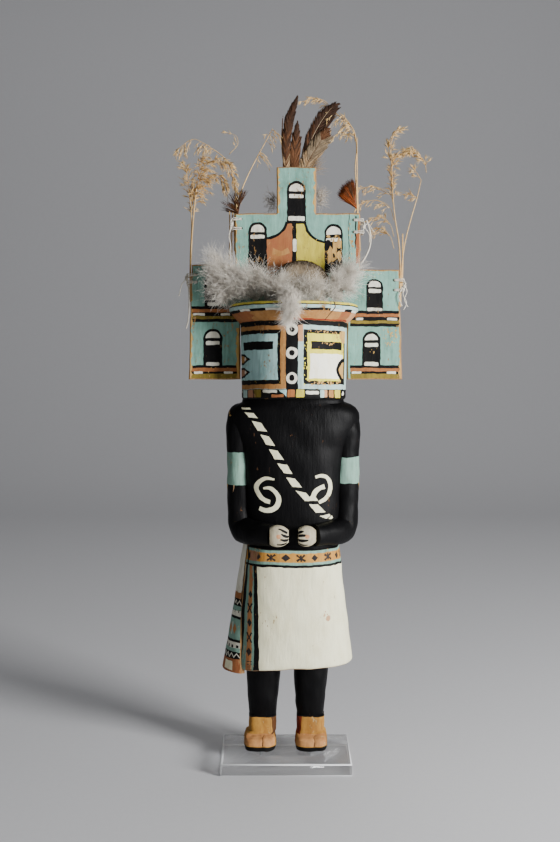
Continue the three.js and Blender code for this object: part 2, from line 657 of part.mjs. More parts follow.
Object.entries(crest).forEach(([name, outline], i) => {
  const front = BOARD_BACK + REST_GAP + i * (FEATHER_THICKNESS + REST_GAP);
  add(headGroup, name, geometryOf(solid(feather(outline, front))), 'feather');
});

const sideFront = BOARD_BACK + REST_GAP;
add(headGroup, 'side_feather_left', geometryOf(solid(feather([
  [-34, TIER_TOP - 12], [-43, TIER_TOP + 2], [-46.6, TIER_TOP + 9], [-44, TIER_TOP + 18], [-36, TIER_TOP + 22],
  [-30.5, TIER_TOP + 17], [-30, TIER_TOP + 4], [-31, TIER_TOP - 12],
], sideFront + PLUME_DEPTH + 3.4))), 'grey');
add(headGroup, 'side_feather_right', geometryOf(solid(feather([
  [35, TIER_TOP - 12], [30.2, TIER_TOP + 6], [31.7, TIER_TOP + 18], [35.7, TIER_TOP + 23.5], [39.9, TIER_TOP + 22],
  [40.4, TIER_TOP + 10], [38, TIER_TOP - 12],
], sideFront))), 'rust');
[['down_behind_left', TOWER_LEFT - 3, 10], ['down_behind_right', TOWER_RIGHT + 4.2, 18]].forEach(([name, x, rise]) => {
  const lump = blob(x, sideFront + 3.5, TIER_TOP + rise / 2 - 2, 9, 6.8, rise + 14);
  add(headGroup, name, geometryOf(solid(lump)), 'grey');
});

// Each bundle of grass leaves its tie, rises past the board's edge and droops at its tip
const stemX = (tie) => tie.edge + tie.side * 0.4;
const bundles = {
  outer_left: grass([
    [[0, -24], [0, -8], [0.4, 6], [1.6, 27], [3, 46], [9, 68], [19, 75]],
    [[0, -24, 0.6], [-0.2, -8, 0.6], [0, 8, 0.6], [0.8, 28, 0.6], [-0.6, 52, 0.6], [2.4, 66, 0.6]],
  ].map((stem) => stem.map(([x, rise, y]) => [stemX(ties.outer_left) + x, WING_TOP_LEFT + rise, y])), [
    [stemX(ties.outer_left) + 0.5, WING_TOP_LEFT + 53, 11, 40, -4], [stemX(ties.outer_left) + 8, WING_TOP_LEFT + 65, 16, 26, 20],
    [stemX(ties.outer_left) + 18, WING_TOP_LEFT + 68, 26, 14, -10], [stemX(ties.outer_left) + 27, WING_TOP_LEFT + 57, 10, 26, -8],
  ]),
  inner_left: grass([
    [[0, -24], [-0.2, -4], [0.2, 10, 3.4], [-0.6, 24, 8.4], [-5, 37, 8.6], [-18, 47.5, 8], [-30, 53, 8], [-39, 46, 8]],
    [[0, -24, 0.6], [0, -4, 0.6], [2.4, 10, 0.6], [8, 25, 0.6], [14, 37, 0.6], [20.5, 49, 0.6], [25.4, 58, 0.6]],
  ].map((stem) => stem.map(([x, rise, y]) => [stemX(ties.inner_left) + x, TIER_TOP + rise, y])), [
    [stemX(ties.inner_left) - 29, TIER_TOP + 51.5, 22, 6, 8, 7], [stemX(ties.inner_left) + 24, TIER_TOP + 50, 6, 16, 22],
  ]),
  inner_right: grass([
    [[0, -24], [-1.6, -4], [-2.4, 17.5], [-3.2, 30], [-2.4, 49, 2], [-4.4, 58, 3], [-11, 65, 4], [-17, 70.3, 5],
      [-25, 78.5, 6], [-30, 79.6, 6], [-38.6, 77, 6]],
  ].map((stem) => stem.map(([x, rise, y]) => [stemX(ties.inner_right) + x, TIER_TOP + rise, y])), [
    [stemX(ties.inner_right) - 6, TIER_TOP + 59, 11, 22, -24, 2],
    [stemX(ties.inner_right) - 15, TIER_TOP + 66, 13, 20, -30, 4],
    [stemX(ties.inner_right) - 25, TIER_TOP + 75, 15, 9, 20, 4],
  ]),
  outer_right: grass([
    [[0, -24], [0, -4], [-0.8, 18], [-3.6, 35.6], [-5, 51], [-5.8, 70], [-6.6, 80.8], [-2.4, 93], [3, 94]],
    [[0, -24, 0.6], [0.6, -4, 0.6], [3, 18, 0.6], [7.4, 35.6, 0.6], [11.2, 48.7, 0.6], [14, 60.8, 0.6], [17.4, 66, 0.6],
      [14.6, 75, 0.6], [5, 79, 0.6]],
    [[-3.6, 35.6, 0.4], [-5.6, 50, 3], [-12, 56, 7], [-21, 52, 8.5], [-28, 44, 8.5]],
  ].map((stem) => stem.map(([x, rise, y]) => [stemX(ties.outer_right) + x, WING_TOP_RIGHT + rise, y])), [
    [stemX(ties.outer_right) - 4, WING_TOP_RIGHT + 86, 9, 24, 14], [stemX(ties.outer_right) + 12, WING_TOP_RIGHT + 74, 16, 14, 0],
    [stemX(ties.outer_right) - 14, WING_TOP_RIGHT + 49, 24, 12, 14, 8],
    [stemX(ties.outer_right) - 24, WING_TOP_RIGHT + 40, 14, 22, 20, 8],
  ]),
};
for (const [name, bundle] of Object.entries(bundles)) {
  add(headGroup, `grass_${name}`, geometryOf(bundle), 'grass');
  add(headGroup, `string_tie_${name}`, geometryOf(stringTie(ties[name])), 'string');
}

// Two loose ends of string are long enough to hang by themselves
const hang = (tie) => tie.edge + tie.side * (STEM_DIAMETER + 2.3);
const tailTop = WING_TOP_LEFT - 12.6;
const tail = Array.from({ length: 15 }, (_, i) => {
  const fall = (i / 14) * 30.5;
  return vec(hang(ties.outer_left) - 0.4 * Math.sin(i * 0.6), BOARD_FRONT + 1, tailTop - 1.2 - fall);
});
add(headGroup, 'string_tail_left', tube(tail, STRING_DIAMETER, 8, 2.5 * STRING_DIAMETER), 'string');

const loopDrop = 28.4;
const loop = Array.from({ length: 15 }, (_, i) => {
  const t = i / 14;
  const bulge = Math.sin(t * Math.PI) ** 0.9;
  const start = hang(ties.inner_right) + REST_GAP + 0.4;
  const end = TIER_RIGHT + STRING_DIAMETER / 2 + REST_GAP;
  return vec(THREE.MathUtils.lerp(start, end, t ** 3) + bulge * 3.2, BOARD_FRONT + 2.4, TIER_TOP - 4.4 - t * loopDrop);
});
add(headGroup, 'string_loop_right', tube(loop, STRING_DIAMETER, 8, 2.5 * STRING_DIAMETER), 'string');

export default doll;
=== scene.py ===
"""Kachina doll: a carved, painted figure with a stepped board behind its mask, on a clear base.

Down, feathers, dry grass and white string are tied to the board. Sizes are in millimetres where paint
is laid out on flat charts and forms are carved, and every finished mesh is turned into metres.
"""

import logging
import math
from dataclasses import dataclass, field
from enum import Enum
from typing import Callable, Optional, Sequence

import bpy
import numpy as np
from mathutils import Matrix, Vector
from mathutils.geometry import delaunay_2d_cdt


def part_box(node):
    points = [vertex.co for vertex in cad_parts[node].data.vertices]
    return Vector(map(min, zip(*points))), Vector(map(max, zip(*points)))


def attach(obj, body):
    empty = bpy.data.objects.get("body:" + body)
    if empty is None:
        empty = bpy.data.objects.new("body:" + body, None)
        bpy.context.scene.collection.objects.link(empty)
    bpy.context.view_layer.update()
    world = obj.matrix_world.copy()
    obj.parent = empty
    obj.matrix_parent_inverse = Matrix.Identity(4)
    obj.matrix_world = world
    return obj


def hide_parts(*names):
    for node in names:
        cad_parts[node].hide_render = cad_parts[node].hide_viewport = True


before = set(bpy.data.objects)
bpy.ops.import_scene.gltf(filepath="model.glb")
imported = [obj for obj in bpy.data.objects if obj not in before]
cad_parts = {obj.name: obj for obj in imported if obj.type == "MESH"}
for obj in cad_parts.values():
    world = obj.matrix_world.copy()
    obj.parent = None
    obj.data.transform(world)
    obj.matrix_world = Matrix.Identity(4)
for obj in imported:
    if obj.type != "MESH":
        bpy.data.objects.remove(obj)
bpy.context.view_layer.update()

MM = 0.001
ROOT = "root"
Array = np.ndarray
Outline = Sequence[tuple[float, float]]
Place = Callable[[Array], Array]

log = logging.getLogger("doll")


# Driving dimensions of the whole doll
FIGURE_Y = 9.0
BODY_X = 4.75
HEAD_X = 5.2
HEAD_TILT = 5.0
SOLE_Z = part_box("display_base")[1].z / MM
HEM_Z = SOLE_Z + 59.8
BELT_TOP_Z = HEM_Z + 77.8
BELT_WIDTH = 11.0
BELT_BOTTOM_Z = BELT_TOP_Z - BELT_WIDTH
MASK_Z = BELT_TOP_Z + 96.9
BOARD_FRONT = 3.0
BOARD_THICKNESS = 6.5
BOARD_BACK = BOARD_FRONT + BOARD_THICKNESS
BRIM_RADIUS = 42.6
BRIM_TOP = 62.0
TIER_TOP = 123.5
TOWER_TOP = 154.2
WING_TOP_LEFT = 89.5
WING_TOP_RIGHT = 86.2
WING_MIDDLE = 1.15
WING_HALF = 68.9
TIER_LEFT = -39.0
TIER_RIGHT = 44.1
WING_EDGE_LEFT = WING_MIDDLE - WING_HALF - 1
WING_EDGE_RIGHT = WING_MIDDLE + WING_HALF + 1
HOLE_INSET = 4.2
GRASS_SPOT = BOARD_BACK + 1.6

# Where a bundle is tied: its name, side, edge of the board and the levels of its two holes
TIES = (
    ("outer_left", -1, WING_EDGE_LEFT, (82.6, 77.9)),
    ("inner_left", -1, TIER_LEFT, (119.7, 113.4)),
    ("inner_right", 1, TIER_RIGHT, (119.0, 111.1)),
    ("outer_right", 1, WING_EDGE_RIGHT, (79.2, 72.6)),
)


def head_to_world(points: Array) -> Array:
    """Moves points from the tilted head's own frame into the doll's frame.

    Args:
        points: Places in the head's frame, in millimetres.

    Returns:
        The same places in the doll's frame, in millimetres.
    """
    tilt = math.radians(HEAD_TILT)
    x, y, z = points.T
    return np.column_stack((
        HEAD_X + x,
        FIGURE_Y + y * math.cos(tilt) + z * math.sin(tilt),
        MASK_Z - y * math.sin(tilt) + z * math.cos(tilt),
    ))


def waviness(points: Array, wavelength: float, seed: int, waves: int = 7) -> Array:
    """Gives each point a smooth value near -1 to 1, the same in every run.

    Args:
        points: Places in millimetres, with two or three coordinates.
        wavelength: Usual distance from crest to crest.
        seed: Which of the possible patterns.
        waves: How many plain waves are added up.

    Returns:
        One value for each point.
    """
    rng = np.random.default_rng(seed)
    heading = rng.normal(size=(waves, points.shape[1]))
    heading /= np.linalg.norm(heading, axis=1, keepdims=True)
    heading *= 2 * math.pi / wavelength * rng.uniform(0.6, 1.6, (waves, 1))
    phase = rng.uniform(0, 2 * math.pi, waves)
    return np.sin(points @ heading.T + phase).sum(axis=1) / math.sqrt(waves)


def smooth_rows(at: Array, knots: Array, rows: Array) -> Array:
    """Reads a smooth curve through rows of numbers.

    Args:
        at: Where to read it.
        knots: Rising places of the rows.
        rows: One row of numbers for each knot.

    Returns:
        One row for each place.
    """
    slopes = np.gradient(rows, knots, axis=0)
    low = np.clip(np.searchsorted(knots, at, side="right") - 1, 0, len(knots) - 2)
    gap = (knots[low + 1] - knots[low])[:, None]
    t = ((at - knots[low])[:, None]) / gap
    return (
        (2 * t**3 - 3 * t**2 + 1) * rows[low] + (t**3 - 2 * t**2 + t) * gap * slopes[low]
        + (3 * t**2 - 2 * t**3) * rows[low + 1] + (t**3 - t**2) * gap * slopes[low + 1]
    )


def spline(points: Sequence[Sequence[float]], count: int) -> Array:
    """Draws a smooth curve through points, evenly paced.

    Args:
        points: What it passes through.
        count: How many points to return.

    Returns:
        The curve's points.
    """
    through = np.asarray(points, float)
    steps = np.linalg.norm(np.diff(through, axis=0), axis=1)
    knots = np.concatenate(([0.0], np.cumsum(steps)))
    return smooth_rows(np.linspace(0, knots[-1], count), knots, through)


def squared_reach(side: Array, front: Array, power: float) -> Array:
    """How far a squared-off round reaches in a direction, with 2 for a plain round."""
    return (np.abs(side) ** power + np.abs(front) ** power) ** (-1 / power)


# Flat outlines

def level_box(x0: float, x1: float, z0: float, z1: float) -> Outline:
    """A rectangle between two sides and two levels."""
    return [(x0, z0), (x1, z0), (x1, z1), (x0, z1)]


def round_box(x0: float, x1: float, z0: float, z1: float, corner: float) -> Outline:
    """A rectangle with rounded corners, drawn with a few points to each corner."""
    outline = []
    corners = ((x1 - corner, z0 + corner, -90), (x1 - corner, z1 - corner, 0),
               (x0 + corner, z1 - corner, 90), (x0 + corner, z0 + corner, 180))
    for x, z, start in corners:
        for turn in (0, 30, 60, 90):
            angle = math.radians(start + turn)
            outline.append((x + corner * math.cos(angle), z + corner * math.sin(angle)))
    return outline


def ellipse(x: float, z: float, rx: float, rz: float, count: int = 28) -> Outline:
    """A round or oval spot."""
    angles = [2 * math.pi * i / count for i in range(count)]
    return [(x + rx * math.cos(a), z + rz * math.sin(a)) for a in angles]


def arch(x: float, width: float, foot: float, top: float, rise: float) -> Outline:
    """Upright sides with a rounded top, as a doorway has.

    Args:
        x: Middle.
        width: Distance between its sides.
        foot: Lower level.
        top: Highest level.
        rise: Height of the rounded part.

    Returns:
        The closed outline.
    """
    crown = [(x + width / 2 * math.cos(a), top - rise + rise * math.sin(a))
             for a in np.linspace(0, math.pi, 15)]
    return [(x - width / 2, foot), (x + width / 2, foot), *crown]


def stroke(points: Sequence[tuple[float, float]], widths: Sequence[float], count: int = 30) -> Outline:
    """A brush stroke along a smooth line.

    Args:
        points: Places that the brush passes.
        widths: Width of the stroke, evenly spread along it.
        count: Points along each side.

    Returns:
        The stroke's closed outline.
    """
    line = spline(points, count)
    along = np.gradient(line, axis=0)
    along /= np.linalg.norm(along, axis=1, keepdims=True)
    across = np.column_stack((-along[:, 1], along[:, 0]))
    half = np.interp(np.linspace(0, 1, count), np.linspace(0, 1, len(widths)), widths)[:, None] / 2
    return [tuple(p) for p in np.vstack((line + across * half, (line - across * half)[::-1]))]


def diamond(x: float, z: float, half_width: float, half_height: float) -> Outline:
    """A square standing on its corner."""
    return [(x - half_width, z), (x, z - half_height), (x + half_width, z), (x, z + half_height)]


def zigzag(x0: float, x1: float, z: float, height: float, teeth: int, thickness: float) -> Outline:
    """A line that goes up and down between two sides."""
    xs = np.linspace(x0, x1, 2 * teeth + 1)
    zs = np.array([z + (height / 2 if i % 2 else -height / 2) for i in range(len(xs))])
    upper = list(zip(xs, zs + thickness / 2))
    return upper + list(zip(xs, zs - thickness / 2))[::-1]


def ragged_box(x0: float, x1: float, z0: float, z1: float, spike: float, step: float, seed: int) -> Outline:
    """A patch with splintered ends, as paint leaves when it comes off along the grain.

    Args:
        x0: Left side.
        x1: Right side.
        z0: Lower end.
        z1: Upper end.
        spike: Height of the splinters.
        step: Their usual width.
        seed: Which of the possible patches.

    Returns:
        The closed outline.
    """
    rng = np.random.default_rng(seed)
    count = max(3, int((x1 - x0) / step))
    xs = np.linspace(x0, x1, count) + rng.uniform(-0.3, 0.3, count) * step
    low = z0 + rng.uniform(-1, 1, count) * spike
    high = z1 + rng.uniform(-1, 1, count) * spike
    return list(zip(xs, low)) + list(zip(xs, high))[::-1]


def worn_edge(x: float, z0: float, z1: float, width: float, seed: int) -> Outline:
    """A narrow upright strip of uneven width along an edge, where paint has rubbed off."""
    rng = np.random.default_rng(seed)
    zs = np.arange(z0, z1, 1.7)
    half = width / 2 * rng.uniform(0.25, 1.25, (2, len(zs)))
    return list(zip(x + half[0], zs)) + list(zip(x - half[1], zs))[::-1]


def resample(outline: Outline, spacing: float) -> Array:
    """Adds points to a closed outline, so that none are further apart than the spacing."""
    points = np.asarray(outline, float)
    pieces = []
    for here, there in zip(points, np.roll(points, -1, axis=0)):
        count = max(1, math.ceil(np.linalg.norm(there - here) / spacing - 1e-9))
        pieces.append(here + (there - here) * (np.arange(count) / count)[:, None])
    return np.vstack(pieces)


def inside(points: Array, outline: Array) -> Array:
    """Tells which points lie within a closed outline.

    Args:
        points: Flat places.
        outline: The outline's corners in order.

    Returns:
        True or False for each point.
    """
    result = np.zeros(len(points), bool)
    low, high = outline.min(axis=0), outline.max(axis=0)
    near = np.flatnonzero(((points >= low) & (points <= high)).all(axis=1))
    x, y = points[near].T
    within = np.zeros(len(near), bool)
    for (x0, y0), (x1, y1) in zip(outline, np.roll(outline, -1, axis=0)):
        if y0 != y1:
            within ^= ((y0 > y) != (y1 > y)) & (x < (x1 - x0) * (y - y0) / (y1 - y0) + x0)
    result[near] = within
    return result


# Finishes

Colour = tuple[int, int, int]


def linear(colour: Colour) -> tuple[float, float, float, float]:
    """Turns a colour as seen, 0 to 255, into the shader's scale."""
    parts = [c / 255 for c in colour]
    return (*[p / 12.92 if p <= 0.04045 else ((p + 0.055) / 1.055) ** 2.4 for p in parts], 1.0)


class Nodes:
    """Builds one material's nodes, step by step, from object coordinates."""

    def __init__(self, name: str) -> None:
        """Starts an empty material with one surface shader."""
        self.material = bpy.data.materials.new(name)
        self.material.use_nodes = True
        self.tree = self.material.node_tree
        self.shader = self.tree.nodes["Principled BSDF"]
        self.coordinates = self.tree.nodes.new("ShaderNodeTexCoord").outputs["Object"]

    def link(self, source: bpy.types.NodeSocket, target: bpy.types.NodeSocket) -> None:
        """Joins two sockets."""
        self.tree.links.new(source, target)

    def noise(self, scale: tuple[float, float, float], detail: float = 4.0,
              roughness: float = 0.6, shift: float = 0.0) -> bpy.types.NodeSocket:
        """Adds a noise pattern.

        Args:
            scale: How often it repeats in a metre, along each axis.
            detail: Number of finer octaves.
            roughness: Strength of the finer octaves.
            shift: Moves the pattern, so that two of the same scale differ.

        Returns:
            The socket with its value.
        """
        mapping = self.tree.nodes.new("ShaderNodeMapping")
        mapping.inputs["Scale"].default_value = scale
        mapping.inputs["Location"].default_value = (shift, shift * 0.7, shift * 1.3)
        self.link(self.coordinates, mapping.inputs["Vector"])
        noise = self.tree.nodes.new("ShaderNodeTexNoise")
        noise.inputs["Scale"].default_value = 1.0
        noise.inputs["Detail"].default_value = detail
        noise.inputs["Roughness"].default_value = roughness
        self.link(mapping.outputs["Vector"], noise.inputs["Vector"])
        return noise.outputs["Fac"]

    def ramp(self, value: bpy.types.NodeSocket, low: float, high: float) -> bpy.types.NodeSocket:
        """Stretches a value, so that low becomes 0 and high becomes 1."""
        node = self.tree.nodes.new("ShaderNodeMapRange")
        node.inputs["From Min"].default_value = low
        node.inputs["From Max"].default_value = high
        self.link(value, node.inputs["Value"])
        return node.outputs["Result"]

    def times(self, a: bpy.types.NodeSocket, b: bpy.types.NodeSocket | float,
              operation: str = "MULTIPLY") -> bpy.types.NodeSocket:
        """Combines two values, by multiplying them unless told otherwise."""
        node = self.tree.nodes.new("ShaderNodeMath")
        node.operation = operation
        self.link(a, node.inputs[0])
        if isinstance(b, (int, float)):
            node.inputs[1].default_value = b
        else:
            self.link(b, node.inputs[1])
        return node.outputs["Value"]

    def mix(self, amount: bpy.types.NodeSocket, a: bpy.types.NodeSocket | Colour,
            b: bpy.types.NodeSocket | Colour) -> bpy.types.NodeSocket:
        """Blends from one colour to another.

        Args:
            amount: 0 gives the first and 1 the second.
            a: First colour or its socket.
            b: Second colour or its socket.

        Returns:
            The blended colour's socket.
        """
        node = self.tree.nodes.new("ShaderNodeMix")
        node.data_type = "RGBA"
        sockets = [s for s in node.inputs if s.type == "RGBA"]
        self.link(amount, node.inputs[0])
        for socket, colour in zip(sockets, (a, b)):
            if isinstance(colour, tuple):
                socket.default_value = linear(colour)
            else:
                self.link(colour, socket)
        return next(s for s in node.outputs if s.type == "RGBA")

    def bump(self, height: bpy.types.NodeSocket, distance: float, strength: float = 1.0) -> None:
        """Raises the surface by a height pattern, on top of what was raised before."""
        node = self.tree.nodes.new("ShaderNodeBump")
        node.inputs["Strength"].default_value = strength
        node.inputs["Distance"].default_value = distance
        self.link(height, node.inputs["Height"])
        normal = self.shader.inputs["Normal"]
        if normal.is_linked:
            self.link(normal.links[0].from_socket, node.inputs["Normal"])
        self.link(node.outputs["Normal"], normal)

    def colour(self, source: bpy.types.NodeSocket) -> None:
        """Sets the surface colour."""
        self.link(source, self.shader.inputs["Base Color"])


@dataclass(frozen=True)
class PaintFinish:
    """Old matt paint brushed on wood: thin in places, and worn through to the wood in chips."""

    colour: Colour
    thin: Colour
    wear: float = 0.3
    roughness: float = 0.72
    wood: Colour = (186, 146, 98)
    streaks: float = 0.5
    gloss: float = 0.2

    def material(self, name: str) -> bpy.types.Material:
        """Builds the paint's material.

        Args:
            name: What the material is called.

        Returns:
            The material.
        """
        nodes = Nodes(name)
        grain = nodes.noise((430, 430, 34), 6, 0.7)
        clouds = nodes.noise((62, 62, 44), 5, 0.65, 3.1)
        brush = nodes.noise((240, 240, 80), 4, 0.65, 7.7)
        fleck = nodes.noise((560, 560, 260), 4, 0.72, 1.9)
        thinness = nodes.times(nodes.ramp(clouds, 0.34, 0.66), nodes.ramp(brush, 0.3, 0.62))
        painted = nodes.mix(thinness, self.colour, self.thin)
        shade = nodes.times(nodes.ramp(grain, 0.5, 0.7), self.streaks)
        painted = nodes.mix(shade, painted, tuple(int(c * 0.74) for c in self.thin))
        level = 0.76 - 0.16 * self.wear
        place = nodes.times(nodes.times(fleck, 0.62), nodes.times(clouds, 0.38), "ADD")
        chips = nodes.ramp(place, level - 0.12, level - 0.1)
        bare = nodes.mix(nodes.ramp(grain, 0.35, 0.65), self.wood, tuple(int(c * 0.72) for c in self.wood))
        nodes.colour(nodes.mix(chips, painted, bare))
        nodes.shader.inputs["Roughness"].default_value = self.roughness
        nodes.shader.inputs["Specular IOR Level"].default_value = self.gloss
        nodes.bump(grain, 0.0005, 0.6)
        nodes.bump(brush, 0.0008, 0.35)
        nodes.bump(nodes.times(chips, -1.0), 0.00015, 0.8)
        return nodes.material


@dataclass(frozen=True)
class WoodFinish:
    """Bare cottonwood root: soft grain along its length, browner in the pores."""

    light: Colour = (196, 158, 108)
    dark: Colour = (132, 94, 56)

    def material(self, name: str) -> bpy.types.Material:
        """Builds the bare wood's material under the given name."""
        nodes = Nodes(name)
        grain = nodes.noise((700, 700, 30), 6, 0.65)
        pores = nodes.noise((1500, 1500, 160), 3, 0.6, 2.3)
        clouds = nodes.noise((60, 60, 25), 4, 0.6, 5.0)
        base = nodes.mix(nodes.ramp(grain, 0.35, 0.7), self.light, self.dark)
        base = nodes.mix(nodes.ramp(clouds, 0.45, 0.8), base, tuple(int(c * 0.85) for c in self.light))
        nodes.colour(nodes.mix(nodes.ramp(pores, 0.6, 0.75), base, tuple(int(c * 0.7) for c in self.dark)))
        nodes.shader.inputs["Roughness"].default_value = 0.8
        nodes.bump(grain, 0.0003, 0.6)
        nodes.bump(pores, 0.0001, 0.5)
        return nodes.material


class Paint(Enum):
    """Every paint and bare surface on the carved wood."""

    BODY_BLACK = PaintFinish((5, 5, 6), (13, 12, 13), 0.02, 0.5, (112, 76, 46), 0.3, 0.1)
    BLACK = PaintFinish((8, 8, 9), (22, 20, 19), 0.2, 0.62, (178, 134, 78), 0.4, 0.12)
    CREAM = PaintFinish((238, 235, 202), (224, 218, 180), 0.12, 0.78, (196, 168, 122), 0.2)
    WHITE = PaintFinish((232, 230, 214), (206, 200, 180), 0.25, 0.72)
    # The hands' white: tan-tinted, and darker than WHITE as painted shade.
    HAND_WHITE = PaintFinish((196, 188, 162), (160, 148, 122), 0.2, 0.7)
    PANEL_WHITE = PaintFinish((254, 252, 236), (246, 238, 206), 0.1, 0.72, (214, 190, 120), 0.3)
    TURQUOISE = PaintFinish((132, 175, 160), (100, 141, 128), 0.3, 0.74)
    MASK_BLUE = PaintFinish((178, 214, 210), (146, 184, 180), 0.25, 0.7)
    PALE_BLUE = PaintFinish((180, 205, 198), (150, 180, 174), 0.35, 0.7)
    ARMBAND = PaintFinish((134, 168, 152), (104, 136, 122), 0.3, 0.7, (206, 190, 150))
    ORANGE_BROWN = PaintFinish((164, 104, 60), (136, 84, 50), 0.3)
    ORANGE_TAN = PaintFinish((180, 132, 78), (152, 104, 56), 0.35)
    SALMON = PaintFinish((150, 88, 56), (166, 114, 66), 0.3)
    YELLOW_GREEN = PaintFinish((208, 194, 78), (182, 164, 56), 0.3)
    PALE_YELLOW = PaintFinish((232, 222, 84), (214, 200, 64), 0.3)
    OLIVE = PaintFinish((138, 120, 48), (104, 86, 34), 0.4)
    PINK_TAN = PaintFinish((206, 154, 112), (184, 128, 88), 0.35)
    DUSTY_PINK = PaintFinish((178, 130, 100), (152, 108, 80), 0.35)
    BELT_TAN = PaintFinish((194, 142, 64), (170, 114, 48), 0.3)
    BORDER_TAN = PaintFinish((184, 126, 76), (160, 102, 62), 0.3)
    RED = PaintFinish((150, 44, 26), (130, 46, 28), 0.35)
    STAIN = PaintFinish((190, 146, 108), (206, 180, 144), 0.3)
    OCHRE = PaintFinish((178, 132, 60), (140, 92, 38), 0.15, 0.7, (206, 174, 122))
    TOE_TAN = PaintFinish((190, 138, 86), (160, 106, 62), 0.3, 0.74, (214, 176, 120))
    MOCCASIN_RED = PaintFinish((124, 40, 18), (92, 36, 20), 0.3)
    # Dark brown of the moccasin seams, also used as painted shade on the left foot's inner side.
    MOCCASIN_BROWN = PaintFinish((84, 50, 20), (62, 36, 16), 0.3)
    MOTIF = PaintFinish((30, 27, 27), (58, 48, 42), 0.3)
    BOARD_BACK = PaintFinish((136, 172, 158), (150, 150, 122), 0.4, 0.8)
    BARE_WOOD = WoodFinish((184, 142, 90), (112, 76, 42))
    FLAKED_WOOD = WoodFinish((212, 172, 96), (162, 116, 56))


PAINTS = list(Paint)
PAINT_NUMBER = {paint: number for number, paint in enumerate(PAINTS)}


def paint_materials() -> list[bpy.types.Material]:
    """Makes the materials of all paints once, in the order of the Paint list."""
    made = []
    for paint in PAINTS:
        name = f"{paint.name.lower()}_paint"
        made.append(bpy.data.materials.get(name) or paint.value.material(name))
    return made


# Meshes

@dataclass
class Shell:
    """A closed skin: points in millimetres, three-cornered faces and each face's paint number."""

    points: Array
    faces: Array
    paints: Array

    def moved(self, place: Place) -> "Shell":
        """The same skin with every point moved."""
        return Shell(place(self.points), self.faces, self.paints)

    def carved(self, depth: float, wavelength: float, seed: int) -> "Shell":
        """The same skin with the small unevenness that a knife leaves."""
        push = np.column_stack([waviness(self.points, wavelength, seed + k) for k in range(3)])
        return Shell(self.points + push * depth, self.faces, self.paints)


def fill_mesh(mesh: bpy.types.Mesh, points: Array, faces: Array, slots: Array) -> None:
    """Writes points and faces of equal length into an empty mesh.

    Args:
        mesh: The empty mesh.
        points: Places in millimetres.
        faces: Corner numbers, one row for each face.
        slots: Material slot of each face.
    """
    corners = faces.shape[1]
    mesh.vertices.add(len(points))
    mesh.vertices.foreach_set("co", (points * MM).astype(np.float32).ravel())
    mesh.loops.add(faces.size)
    mesh.loops.foreach_set("vertex_index", faces.astype(np.int32).ravel())
    mesh.polygons.add(len(faces))
    mesh.polygons.foreach_set("loop_start", np.arange(0, faces.size, corners, dtype=np.int32))
    mesh.polygons.foreach_set("material_index", slots.astype(np.int32))
    mesh.polygons.foreach_set("use_smooth", np.ones(len(faces), bool))
    mesh.update(calc_edges=True)
    mesh.validate()


def new_object(name: str, points: Array, faces: Array, materials: Sequence[bpy.types.Material],
               slots: Optional[Array] = None, crease: Optional[float] = None) -> bpy.types.Object:
    """Makes an object from points and faces.

    Args:
        name: What the object is called.
        points: Places in millimetres.
        faces: Corner numbers, one row for each face.
        materials: Its material slots.
        slots: Slot of each face, or none where there is one material.
        crease: Edges that bend more than this many degrees look sharp.

    Returns:
        The object, linked to the scene.
    """
    mesh = bpy.data.meshes.new(name)
    for material in materials:
        mesh.materials.append(material)
    fill_mesh(mesh, points, faces, np.zeros(len(faces), int) if slots is None else slots)
    if crease is not None:
        mesh.set_sharp_from_angle(angle=math.radians(crease))
    made = bpy.data.objects.new(name, mesh)
    bpy.context.scene.collection.objects.link(made)
    return made


def shell_object(name: str, shell: Shell, crease: float = 32.0) -> bpy.types.Object:
    """Makes an object with every paint in its slots from a skin."""
    return new_object(name, shell.points, shell.faces, paint_materials(), shell.paints, crease)


def apply_modifiers(piece: bpy.types.Object) -> None:
    """Replaces the piece's mesh by what its modifiers make of it."""
    bpy.context.view_layer.update()
    evaluated = piece.evaluated_get(bpy.context.evaluated_depsgraph_get())
    mesh = bpy.data.meshes.new_from_object(evaluated)
    piece.modifiers.clear()
    piece.data = mesh


def cut_or_join(piece: bpy.types.Object, others: Sequence[bpy.types.Object], operation: str) -> None:
    """Joins other solids to a piece, or cuts them out of it, and removes them.

    Args:
        piece: The solid that stays.
        others: Solids used up.
        operation: UNION or DIFFERENCE.
    """
    for other in others:
        modifier = piece.modifiers.new("carve", "BOOLEAN")
        modifier.operation = operation
        modifier.solver = "MANIFOLD"
        modifier.object = other
    apply_modifiers(piece)
    for other in others:
        bpy.data.objects.remove(other)


def drop_unused_slots(piece: bpy.types.Object) -> None:
    """Keeps only the material slots that a face uses."""
    mesh = piece.data
    slots = np.zeros(len(mesh.polygons), np.int32)
    mesh.polygons.foreach_get("material_index", slots)
    used = sorted(set(slots.tolist()))
    kept = [mesh.materials[i] for i in used]
    mesh.materials.clear()
    for material in kept:
        mesh.materials.append(material)
    mesh.polygons.foreach_set("material_index", np.searchsorted(used, slots).astype(np.int32))


def placed(piece: bpy.types.Object, slot: str, *nodes: str) -> bpy.types.Object:
    """Makes a piece ride with the doll and hides the solids that it replaces.

    Args:
        piece: The finished piece.
        slot: Name of a material slot; not used.
        nodes: Solids that it replaces.

    Returns:
        The same piece.
    """
    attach(piece, ROOT)
    if nodes:
        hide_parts(*nodes)
    faces = len(piece.data.polygons) if piece.type == "MESH" else 0
    log.info("%s: %d faces", piece.name, faces)
    return piece


# Charts of paint

@dataclass
class Patch:
    """One painted area on a chart."""

    outline: Array
    paint: Paint


